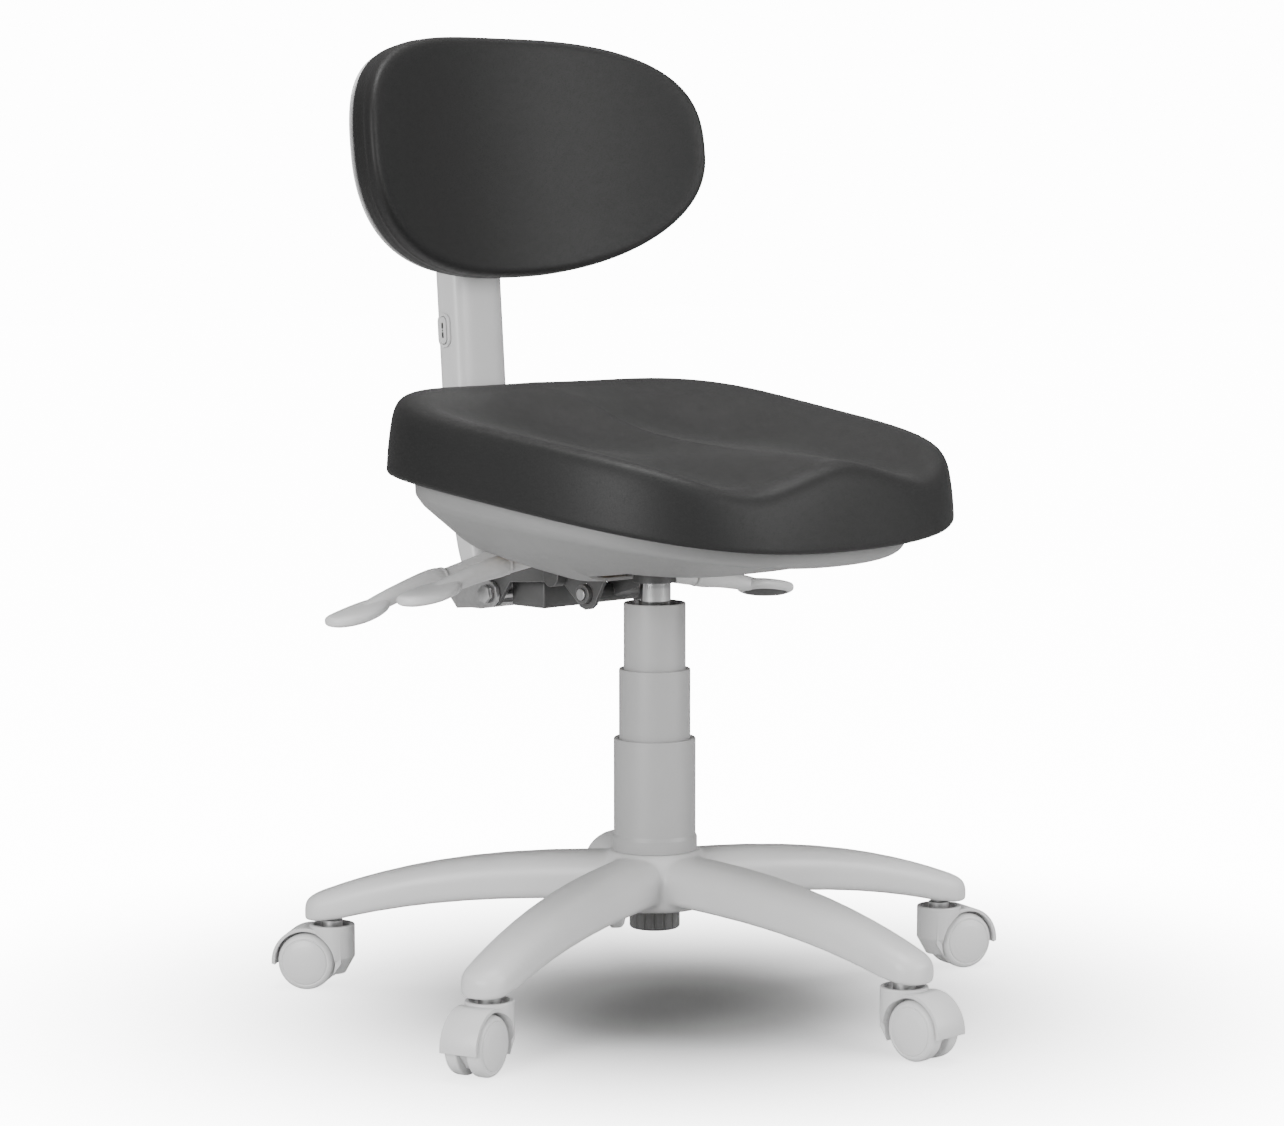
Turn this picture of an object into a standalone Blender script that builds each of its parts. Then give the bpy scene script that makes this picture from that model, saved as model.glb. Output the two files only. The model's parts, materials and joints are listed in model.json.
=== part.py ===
"""Dentist stool: five-armed base on twin-wheel castors, gas spring under telescopic covers,
tilting contoured seat in a plastic pan, and a height-adjustable, tilting backrest.

Everything is modelled in metres, +Z up, the sitter facing -Y. The world origin is the middle
of the footprint on the floor, and the column's axis stands a little behind it.
"""

import math

import bmesh
import bpy
from mathutils import Matrix, Vector

MM = 0.001

# ---------------------------------------------------------------- driving sizes
FIT = 0.3 * MM                      # clearance between pieces that touch or slide

# castors
CASTOR_COUNT = 5
STEM_CIRCLE = 288.8 * MM            # column axis to each castor stem
WHEEL_RADIUS = 25.0 * MM            # to the flat of a facet, which stands on the floor
WHEEL_WIDTH = 13.0 * MM
WHEEL_DOME = 2.6 * MM               # how far the outer disc bulges
WHEEL_SIDES = 24
WEB_HALF = 4.0 * MM                 # housing's middle web, between the wheels
TRAIL = 20.9 * MM                   # stem axis to wheel axle
HOOD_WALL = 2.8 * MM
HOOD_GAP = 2.4 * MM                 # air between wheel and hood
SOCKET_RADIUS = 20.0 * MM
HOUSING_TOP = 57.3 * MM
STEM_RADIUS = 5.5 * MM
STEM_COLLAR_RADIUS = 9.5 * MM
STEM_IN_ARM = 21.0 * MM
STEM_SHOULDER = 49.0 * MM           # above the wheels, where the stem narrows into the web
STEM_TAIL_RADIUS = 2.2 * MM
AXLE_RADIUS = 3.0 * MM

# star base
ARM_UNDER_TIP = 61.5 * MM           # underside of an arm at the stem
ARM_UNDER_HUB = 90.5 * MM
ARM_RIDGE = 131.0 * MM              # top of an arm at the hub
ARM_TIP_DROP = 50.0 * MM
ARM_TIP_REACH = 23.5 * MM           # arm end beyond the stem
ARM_WIDTH_HUB = 56.0 * MM
ARM_WIDTH_TIP = 42.0 * MM
HUB_TOP = 133.0 * MM
HUB_BOTTOM = 84.0 * MM
HUB_RADIUS = 39.5 * MM

# column
TUBE_RADIUS = 25.0 * MM             # outer steel tube of the gas spring
TUBE_WALL = 1.8 * MM
TUBE_BOTTOM = 86.0 * MM
TUBE_FLOOR = 6.0 * MM               # the tube's own floor lies this far above TUBE_BOTTOM
TUBE_TOP = 234.0 * MM
CYLINDER_RADIUS = 14.0 * MM         # bright cylinder
CYLINDER_WALL = 2.0 * MM
CYLINDER_BOTTOM = 198.0 * MM        # clears the thrust bearing when the seat is lowest
CYLINDER_TOP = 398.0 * MM
ROD_RADIUS = 5.0 * MM
BEARING_RADIUS = 13.0 * MM
PIN_RADIUS = 3.0 * MM
PIN_PROUD = 4.5 * MM                # release pin above the cylinder
FINGER_GAP = 1.4 * MM               # height lever's finger above the pin, taken up as the seat tilts
COVER_WALL = 1.4 * MM
COVER_LENGTH = 98.0 * MM
COVER_TOP_EDGE = 348.4 * MM         # upper edge of each cover
COVER_MIDDLE_EDGE = 291.0 * MM
COVER_LOWER_EDGE = 230.8 * MM
COVER_TOP_RADIUS = 26.9 * MM
COVER_MIDDLE_RADIUS = 31.0 * MM
COVER_LOWER_RADIUS = 35.6 * MM
COVER_LOWER_FLARE = 1.3 * MM
CAP_RADIUS = 22.0 * MM
CAP_SPIGOT_RADIUS = CAP_RADIUS - 2.0 * MM
CAP_BOTTOM = 64.0 * MM

# seat mechanism
SOCKET_OUTER = 19.0 * MM
SOCKET_BOTTOM = 366.0 * MM
SEAT_PIVOT = (44.0 * MM, 355.0 * MM)      # (y, z) of the seat's tilt axis
PIVOT_TUBE_RADIUS = 8.4 * MM
PIVOT_TUBE_HALF = 45.0 * MM
CHEEK_INNER = 36.0 * MM
CHEEK_WALL = 4.0 * MM
BACK_PIVOT = (165.0 * MM, 346.0 * MM)     # (y, z) of the backrest's tilt axis
BOLT_RADIUS = 5.0 * MM
ARM_PLATE_WALL = 4.0 * MM

# seat
SEAT_HALF_WIDTH = 222.0 * MM
SEAT_HALF_LENGTH = 202.0 * MM
SEAT_CENTRE_Y = -32.0 * MM
SEAT_BASE_Z = 436.5 * MM            # cushion's underside above the column axis
SEAT_SLOPE = 0.122                  # rise to the rear
SEAT_SADDLE = 15.0 * MM             # how much the side edges rise
SEAT_SQUARENESS = 3.2
SEAT_TAPER = 0.077                  # extra width at the rear
SEAT_THICKNESS = 61.0 * MM
SEAT_SHAPE = (SEAT_SQUARENESS, SEAT_TAPER)
PAN_SHAPE = (2.5, 0.21)             # squareness and taper of the pan and the board
BOARD_SCALE = 0.865
BOARD_THICKNESS = 11.0 * MM
PAN_SCALE = 0.92
PAN_LIP = 15.0 * MM
PAN_WALL = 3.0 * MM
PAN_BOTTOM_Z = 373.5 * MM
PAN_BOTTOM_SLOPE = -0.07
FRAME_HALF_WIDTH = 52.0 * MM
FRAME_PLATE = 3.5 * MM

# backrest
BAR_WIDTH = 58.0 * MM
BAR_DEPTH = 33.0 * MM
BAR_LEAN = math.radians(4.0)
BAR_POINT = (239.0 * MM, 629.0 * MM)      # (y, z) on the bar's middle line
BAR_TOP_Z = 752.0 * MM
SLEEVE_WALL = 4.0 * MM
PAD_HALF_WIDTH = 200.3 * MM
PAD_HALF_HEIGHT = 106.5 * MM
PAD_CENTRE = (206.0 * MM, 729.4 * MM)
PAD_LEAN = math.radians(6.5)
PAD_SQUARENESS_TOP = 2.75
PAD_SQUARENESS_FOOT = 2.25
PAD_WRAP = 55.0 * MM                # how far the ends come forward
PAD_FRONT = 23.0 * MM               # cushion in front of the middle surface
PAD_REAR = 10.0 * MM
BACK_SHELL_WALL = 5.5 * MM
BACK_GAP = 1.6 * MM                 # cushion's board to the shell, over the curved face
SLEEVE_LENGTH = 82.0 * MM
LOCK_HEIGHT = 31.0 * MM
LOCK_WIDTH = 15.0 * MM
LOCK_PROUD = 2.5 * MM
LOCK_Z = 577.0 * MM

# levers: each has its side, its y, and (distance from the middle, z) in mm of four points:
# hinge, bend, ring between rod and grip, middle of the paddle
LEVER_RADIUS = 7.2 * MM
LEVER_SPIGOT = 4.6 * MM
SPIGOT_LENGTH = 26.0 * MM
GRIP_SLOPE = math.tan(math.radians(5))    # a grip's fall at the ring; it steepens outwards
PADDLE_LENGTH = 62.0 * MM
PADDLE_WIDTH = 40.0 * MM
PADDLE_HALF_DEPTH = 6.6 * MM
LEVERS = {
    "height": (-1, 67 * MM, ((44, 389), (78, 387.5), (110, 383.5), (199, 366))),
    "back": (-1, 150 * MM, ((44, 382), (72, 375.5), (110, 367), (208, 343))),
    "tilt": (1, 64 * MM, ((44, 368), (76, 362.5), (112, 356.5), (206, 341))),
}

# The footprint reaches one castor's hood to the front, and two to the rear at 36 degrees.
HOOD_RADIUS = WHEEL_RADIUS + HOOD_GAP + HOOD_WALL
REACH = STEM_CIRCLE + TRAIL + HOOD_RADIUS
REAR_ANGLE = math.radians(36)
REAR_REACH = (STEM_CIRCLE + TRAIL + HOOD_RADIUS) * math.cos(REAR_ANGLE)
REAR_REACH += (WEB_HALF + WHEEL_WIDTH) * math.sin(REAR_ANGLE)
COLUMN_Y = (REACH - REAR_REACH) / 2

# ---------------------------------------------------------------- scene helpers
for old in list(bpy.data.objects):
    bpy.data.objects.remove(old, do_unlink=True)

PARTS = bpy.data.collections.new("dentist_stool")
CUTTERS = bpy.data.collections.new("cutters")
for made_collection in (PARTS, CUTTERS):
    bpy.context.scene.collection.children.link(made_collection)
CUTTERS.hide_render = True

FRAMES = {}


def frame(name, at, parent=None):
    """An empty on a joint's axis; at is in column coordinates (column axis, floor)."""
    empty = bpy.data.objects.new(name, None)
    PARTS.objects.link(empty)
    empty.empty_display_size = 0.03
    base = Vector(FRAMES[parent][1]) if parent else Vector((0, 0, 0))
    empty.location = Vector(at) - base
    if parent:
        empty.parent = FRAMES[parent][0]
    else:
        empty.location.y += COLUMN_Y
    FRAMES[name] = (empty, tuple(at))
    return name


def finish(name, colour, roughness, metallic):
    material = bpy.data.materials.new(name)
    material.use_nodes = True
    shader = material.node_tree.nodes["Principled BSDF"]
    shader.inputs["Base Color"].default_value = (*colour, 1)
    shader.inputs["Roughness"].default_value = roughness
    shader.inputs["Metallic"].default_value = metallic
    return material


PALE = finish("pale_grey_nylon", (0.52, 0.52, 0.52), 0.5, 0)
COVER = finish("column_cover_plastic", (0.40, 0.40, 0.40), 0.5, 0)
PAN = finish("seat_pan_plastic", (0.30, 0.30, 0.30), 0.5, 0)
VINYL = finish("charcoal_upholstery", (0.045, 0.045, 0.047), 0.55, 0)
CHROME = finish("bright_cylinder", (0.75, 0.75, 0.76), 0.12, 1)
STEEL = finish("dark_steel", (0.10, 0.10, 0.105), 0.45, 0.8)
ZINC = finish("zinc_steel", (0.55, 0.55, 0.56), 0.35, 1)
PLY = finish("birch_plywood", (0.55, 0.40, 0.24), 0.7, 0)
BLACK = finish("black_plastic", (0.03, 0.03, 0.03), 0.5, 0)


def place(obj, material, parent, at, turn=(0, 0, 0), smooth=30):
    """Puts an object at a point in column coordinates, as a child of a joint's empty."""
    obj.parent = FRAMES[parent][0]
    obj.location = Vector(at) - Vector(FRAMES[parent][1])
    obj.rotation_euler = turn
    obj.data.materials.clear()
    obj.data.materials.append(material)
    if obj.type == "MESH" and smooth:
        obj.data.shade_smooth()
        obj.data.set_sharp_from_angle(angle=math.radians(smooth))
    return obj


def new_object(name, mesh, collection=PARTS):
    obj = bpy.data.objects.new(name, mesh)
    collection.objects.link(obj)
    return obj


def from_bmesh(name, bm, collection=PARTS):
    bmesh.ops.recalc_face_normals(bm, faces=bm.faces)
    mesh = bpy.data.meshes.new(name)
    bm.to_mesh(mesh)
    bm.free()
    return new_object(name, mesh, collection)


def loft(name, rings, collection=PARTS, open_ends=False):
    """Skins rings of equally many points; flat caps close both ends unless told otherwise."""
    bm = bmesh.new()
    rows = [[bm.verts.new(point) for point in ring] for ring in rings]
    count = len(rows[0])
    for low, high in zip(rows, rows[1:]):
        for i in range(count):
            j = (i + 1) % count
            bm.faces.new((low[i], low[j], high[j], high[i]))
    if not open_ends:
        for row in (rows[0], rows[-1]):
            centre = bm.verts.new(sum((v.co for v in row), Vector()) / count)
            for i in range(count):
                bm.faces.new((row[i], row[(i + 1) % count], centre))
    return from_bmesh(name, bm, collection)


def turned(name, profile, steps, collection=PARTS):
    """Turns a profile of (radius, height) about local Z; it runs down the outer side first."""
    bm = bmesh.new()
    closed = profile[0][0] > 0 or profile[-1][0] > 0
    verts = [bm.verts.new((radius, 0, height)) for radius, height in profile]
    for first, second in zip(verts, verts[1:]):
        bm.edges.new((first, second))
    if closed:
        bm.edges.new((verts[-1], verts[0]))
    mesh = bpy.data.meshes.new(name)
    bm.to_mesh(mesh)
    bm.free()
    obj = new_object(name, mesh, collection)
    screw = obj.modifiers.new("turn", "SCREW")
    screw.steps = steps
    screw.render_steps = steps
    screw.use_merge_vertices = True
    screw.merge_threshold = 0.00002
    return obj


def box(name, low, high, rounding=0, segments=2, collection=PARTS):
    """A box from its lowest to its highest corner, with rounded edges."""
    bm = bmesh.new()
    bmesh.ops.create_cube(bm, size=1)
    size = Vector(high) - Vector(low)
    middle = (Vector(high) + Vector(low)) / 2
    matrix = Matrix.Translation(middle) @ Matrix.Diagonal((*size, 1))
    bmesh.ops.transform(bm, matrix=matrix, verts=bm.verts)
    obj = from_bmesh(name, bm, collection)
    if rounding:
        bevel = obj.modifiers.new("edges", "BEVEL")
        bevel.width = rounding
        bevel.segments = segments
        bevel.limit_method = "ANGLE"
    return obj


def rod(name, start, end, radius, sides, collection=PARTS):
    """A plain round bar between two points."""
    bm = bmesh.new()
    bmesh.ops.create_cone(bm, cap_ends=True, segments=sides, radius1=radius, radius2=radius, depth=1)
    along = Vector(end) - Vector(start)
    turn = along.to_track_quat("Z", "Y").to_matrix().to_4x4()
    middle = (Vector(start) + Vector(end)) / 2
    matrix = Matrix.Translation(middle) @ turn @ Matrix.Diagonal((1, 1, along.length, 1))
    bmesh.ops.transform(bm, matrix=matrix, verts=bm.verts)
    return from_bmesh(name, bm, collection)


def plate(name, outline, thickness, collection=PARTS):
    """A flat plate: outline of (y, z) points, extruded along X about the plane x = 0."""
    half = thickness / 2
    rings = [[(side, y, z) for y, z in outline] for side in (-half, half)]
    bm = bmesh.new()
    rows = [[bm.verts.new(point) for point in ring] for ring in rings]
    count = len(outline)
    for i in range(count):
        j = (i + 1) % count
        bm.faces.new((rows[0][i], rows[0][j], rows[1][j], rows[1][i]))
    for row in rows:
        bm.faces.new(row)
    return from_bmesh(name, bm, collection)


def combine(obj, other, operation):
    """Boolean with an object that then only serves as the tool."""
    if other.name in PARTS.objects:
        PARTS.objects.unlink(other)
        CUTTERS.objects.link(other)
    other.hide_render = True
    other.display_type = "WIRE"
    if other.parent is None:
        other.parent = obj
    modifier = obj.modifiers.new(operation.lower(), "BOOLEAN")
    modifier.operation = operation
    modifier.solver = "EXACT"
    modifier.object = other


def cut(obj, other):
    combine(obj, other, "DIFFERENCE")


def join(obj, other):
    combine(obj, other, "UNION")


def arc(centre, radius, start, end, count):
    """Points on a circle, angles in degrees."""
    steps = [math.radians(start + (end - start) * i / (count - 1)) for i in range(count)]
    return [(centre[0] + radius * math.cos(t), centre[1] + radius * math.sin(t)) for t in steps]


def squarish(t, n):
    """A point at angle t on the superellipse |x|^n + |y|^n = 1."""
    c, s = math.cos(t), math.sin(t)
    return math.copysign(abs(c) ** (2 / n), c), math.copysign(abs(s) ** (2 / n), s)


# ---------------------------------------------------------------- joint frames
frame("stool", (0, 0, 0))
frame("swivel_axis", (0, 0, TUBE_BOTTOM), "stool")
frame("lift_axis", (0, 0, CYLINDER_BOTTOM), "swivel_axis")
frame("cover_axis", (0, 0, COVER_MIDDLE_EDGE), "stool")
frame("valve_axis", (0, 0, CYLINDER_TOP), "lift_axis")
frame("seat_axis", (0, *SEAT_PIVOT), "lift_axis")
frame("back_axis", (0, *BACK_PIVOT), "seat_axis")
frame("slide_axis", (0, *PAD_CENTRE), "back_axis")


# ---------------------------------------------------------------- star base
def arm_top(r):
    return ARM_RIDGE - ARM_TIP_DROP * (r / (STEM_CIRCLE + ARM_TIP_REACH)) ** 2.6


def arm_under(r):
    return ARM_UNDER_HUB - (ARM_UNDER_HUB - ARM_UNDER_TIP) * min(1, r / STEM_CIRCLE) ** 2.8


def arm_section(r, width, height_share, points=12):
    """Inverted U: softly rounded on top, nearly square below."""
    low = arm_under(r)
    high = low + (arm_top(r) - low) * height_share
    middle = low + 0.42 * (high - low)
    ring = []
    for i in range(points):
        t = 2 * math.pi * (i + 0.5) / points
        upper = math.sin(t) > 0
        across, up = squarish(t, 2.5 if upper else 6)
        reach = (high - middle) if upper else (middle - low)
        ring.append((r, across * width / 2, middle + up * reach))
    return ring


def star_base():
    tip = STEM_CIRCLE + ARM_TIP_REACH
    hub = [
        (0, HUB_TOP), (HUB_RADIUS, HUB_TOP), (HUB_RADIUS + 0.8 * MM, HUB_TOP - 2.5 * MM),
        (HUB_RADIUS + 3 * MM, HUB_TOP - 6 * MM), (HUB_RADIUS + 8 * MM, HUB_TOP - 18 * MM),
        (HUB_RADIUS + 9 * MM, HUB_BOTTOM + 3 * MM), (HUB_RADIUS + 6 * MM, HUB_BOTTOM), (0, HUB_BOTTOM)]
    base = turned("star_base", hub, 32)
    place(base, PALE, "stool", (0, 0, 0))
    for i in range(CASTOR_COUNT):
        stations = [0.03, 0.2, 0.42, 0.62, 0.78, 0.89]
        rings = []
        for share in stations:
            width = ARM_WIDTH_HUB + (ARM_WIDTH_TIP - ARM_WIDTH_HUB) * share
            rings.append(arm_section(tip * share, width, 1))
        for angle, height_share in ((25, 0.985), (55, 0.93), (80, 0.74)):
            turn = math.radians(angle)
            reach = tip - ARM_WIDTH_TIP / 2 * 0.98 * (1 - math.sin(turn))
            rings.append(arm_section(reach, ARM_WIDTH_TIP * math.cos(turn) ** 0.75, height_share))
        arm = loft(f"arm_{i}", rings, CUTTERS)
        arm.rotation_euler.z = castor_angle(i)
        join(base, arm)
    seat_z = TUBE_BOTTOM + TUBE_FLOOR - FIT
    bore = [(0, HUB_TOP + 5 * MM), (TUBE_RADIUS + FIT, HUB_TOP + 5 * MM), (TUBE_RADIUS + FIT, seat_z),
            (CAP_SPIGOT_RADIUS, seat_z), (CAP_SPIGOT_RADIUS, HUB_BOTTOM - 5 * MM),
            (0, HUB_BOTTOM - 5 * MM)]
    cut(base, turned("hub_bore", bore, 24, CUTTERS))
    for i in range(CASTOR_COUNT):
        x, y = STEM_CIRCLE * math.cos(castor_angle(i)), STEM_CIRCLE * math.sin(castor_angle(i))
        low, high = ARM_UNDER_TIP - 9 * MM, ARM_UNDER_TIP + STEM_IN_ARM + FIT
        cut(base, rod(f"stem_hole_{i}", (x, y, low), (x, y, high), STEM_RADIUS + FIT, 12, CUTTERS))


def castor_angle(i):
    """Arm directions: one arm points straight to the front."""
    return math.radians(-90 + 360 / CASTOR_COUNT * i)


# ---------------------------------------------------------------- castors
CASTOR_NAMES = ("front", "left_front", "left_rear", "right_rear", "right_front")


def castor_housing(name):
    """Hood over both wheels, middle web and upright socket; local +X trails outwards."""
    axle = (TRAIL, WHEEL_RADIUS)
    half = WEB_HALF + FIT + WHEEL_WIDTH - 0.7 * MM
    outline = arc(axle, HOOD_RADIUS, -4, 112, 9)
    outline += [(-SOCKET_RADIUS * 0.55, HOUSING_TOP - 2 * MM), (-SOCKET_RADIUS * 0.6, WHEEL_RADIUS),
                (TRAIL - WHEEL_RADIUS * 0.93, WHEEL_RADIUS * 0.45), (TRAIL - 8 * MM, WHEEL_RADIUS * 0.3),
                (TRAIL + 9 * MM, WHEEL_RADIUS * 0.3), (TRAIL + WHEEL_RADIUS * 0.8, WHEEL_RADIUS * 0.78)]
    bm = bmesh.new()
    rows = [[bm.verts.new((x, y, z)) for x, z in outline] for y in (-half, half)]
    count = len(outline)
    for i in range(count):
        bm.faces.new((rows[0][i], rows[0][(i + 1) % count], rows[1][(i + 1) % count], rows[1][i]))
    for row in rows:
        bm.faces.new(row)
    housing = from_bmesh(name, bm)
    socket = [(0, HOUSING_TOP), (SOCKET_RADIUS - 1 * MM, HOUSING_TOP),
              (SOCKET_RADIUS, HOUSING_TOP - 1 * MM),
              (SOCKET_RADIUS, WHEEL_RADIUS * 1.15), (SOCKET_RADIUS * 0.58, WHEEL_RADIUS * 0.55),
              (0, WHEEL_RADIUS * 0.45)]
    join(housing, turned(name + "_socket", socket, 20, CUTTERS))

    def across(tool_name, start, end, radius, sides):
        """Cutter along the axle, between two distances from the middle plane."""
        ends = [(TRAIL, y, WHEEL_RADIUS) for y in (start, end)]
        return rod(tool_name, *ends, radius, sides, CUTTERS)

    for side in (-1, 1):
        space_name = f"{name}_wheel_space_{side + 1}"
        reach = side * (half + 20 * MM)
        cut(housing, across(space_name, side * WEB_HALF, reach, WHEEL_RADIUS + HOOD_GAP, 24))
    cut(housing, across(name + "_axle_hole", -30 * MM, 30 * MM, AXLE_RADIUS + FIT, 12))
    recess = turned(name + "_recess", [
        (0, HOUSING_TOP + 5 * MM), (SOCKET_RADIUS - 3.2 * MM, HOUSING_TOP + 5 * MM),
        (SOCKET_RADIUS - 3.2 * MM, HOUSING_TOP - 4.5 * MM), (STEM_RADIUS + FIT, HOUSING_TOP - 4.5 * MM),
        (STEM_RADIUS + FIT, STEM_SHOULDER - FIT), (STEM_TAIL_RADIUS + FIT, STEM_SHOULDER - FIT),
        (STEM_TAIL_RADIUS + FIT, WHEEL_RADIUS - 2 * MM), (0, WHEEL_RADIUS - 2 * MM)], 12, CUTTERS)
    cut(housing, recess)
    return housing


def castor_stem(name):
    """Steel pin with a collar that seats against the arm's underside."""
    low = WHEEL_RADIUS - 2 * MM + FIT
    gap_top = ARM_UNDER_TIP - FIT
    return turned(name, [
        (0, ARM_UNDER_TIP + STEM_IN_ARM), (STEM_RADIUS - 1 * MM, ARM_UNDER_TIP + STEM_IN_ARM),
        (STEM_RADIUS, ARM_UNDER_TIP + STEM_IN_ARM - 1 * MM), (STEM_RADIUS, gap_top),
        (STEM_COLLAR_RADIUS, gap_top), (STEM_COLLAR_RADIUS, HOUSING_TOP - 4 * MM),
        (STEM_RADIUS, HOUSING_TOP - 4 * MM), (STEM_RADIUS, STEM_SHOULDER),
        (STEM_TAIL_RADIUS, STEM_SHOULDER), (STEM_TAIL_RADIUS, low), (0, low)], 12)


def castor_wheel(name, side):
    """Domed disc with a rounded tread; its axis is local Y and a facet of it faces down."""
    corner = 1 / math.cos(math.pi / WHEEL_SIDES)
    tread = WHEEL_RADIUS * corner
    inner = WEB_HALF + FIT
    outer = inner + WHEEL_WIDTH
    hole = AXLE_RADIUS + FIT
    # (radius, distance from the castor's middle plane), from the dome to the blind axle hole
    profile = [(tread * 0.55, outer + WHEEL_DOME * 0.75), (tread - 1.8 * MM, outer - 1.6 * MM),
               (tread, outer - 4 * MM), (tread, inner + 1.2 * MM), (tread - 1.2 * MM, inner),
               (hole, inner), (hole, outer - 4 * MM)]
    rings = []
    for radius, off in profile:
        ring = []
        for i in range(WHEEL_SIDES):
            t = 2 * math.pi * (i + 0.5) / WHEEL_SIDES
            ring.append((radius * math.sin(t), side * off, radius * math.cos(t)))
        rings.append(ring)
    bm = bmesh.new()
    rows = [[bm.verts.new(point) for point in ring] for ring in rings]
    for low, high in zip(rows, rows[1:]):
        for i in range(WHEEL_SIDES):
            j = (i + 1) % WHEEL_SIDES
            bm.faces.new((low[i], low[j], high[j], high[i]))
    for row, off in ((rows[0], outer + WHEEL_DOME), (rows[-1], outer - 4 * MM)):
        centre = bm.verts.new((0, side * off, 0))
        for i in range(WHEEL_SIDES):
            bm.faces.new((row[i], row[(i + 1) % WHEEL_SIDES], centre))
    return from_bmesh(name, bm)


def castors():
    for i, where in enumerate(CASTOR_NAMES):
        angle = castor_angle(i)
        x, y = STEM_CIRCLE * math.cos(angle), STEM_CIRCLE * math.sin(angle)
        ax, ay = (STEM_CIRCLE + TRAIL) * math.cos(angle), (STEM_CIRCLE + TRAIL) * math.sin(angle)
        turn = (0, 0, angle)
        frame(f"castor_{where}_axis", (x, y, HOUSING_TOP), "stool")
        frame(f"wheels_{where}_axis", (ax, ay, WHEEL_RADIUS), f"castor_{where}_axis")
        place(castor_stem(f"castor_{where}_stem"), ZINC, "stool", (x, y, 0))
        place(castor_housing(f"castor_{where}_housing"), PALE, f"castor_{where}_axis", (x, y, 0), turn)
        reach = WEB_HALF + FIT + WHEEL_WIDTH - 4.3 * MM
        axle = rod(f"castor_{where}_axle", (0, -reach, 0), (0, reach, 0), AXLE_RADIUS, 12)
        place(axle, ZINC, f"castor_{where}_axis", (ax, ay, WHEEL_RADIUS), turn)
        for word, side in (("a", -1), ("b", 1)):
            wheel = castor_wheel(f"castor_{where}_wheel_{word}", side)
            place(wheel, PALE, f"wheels_{where}_axis", (ax, ay, WHEEL_RADIUS), turn)


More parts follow.
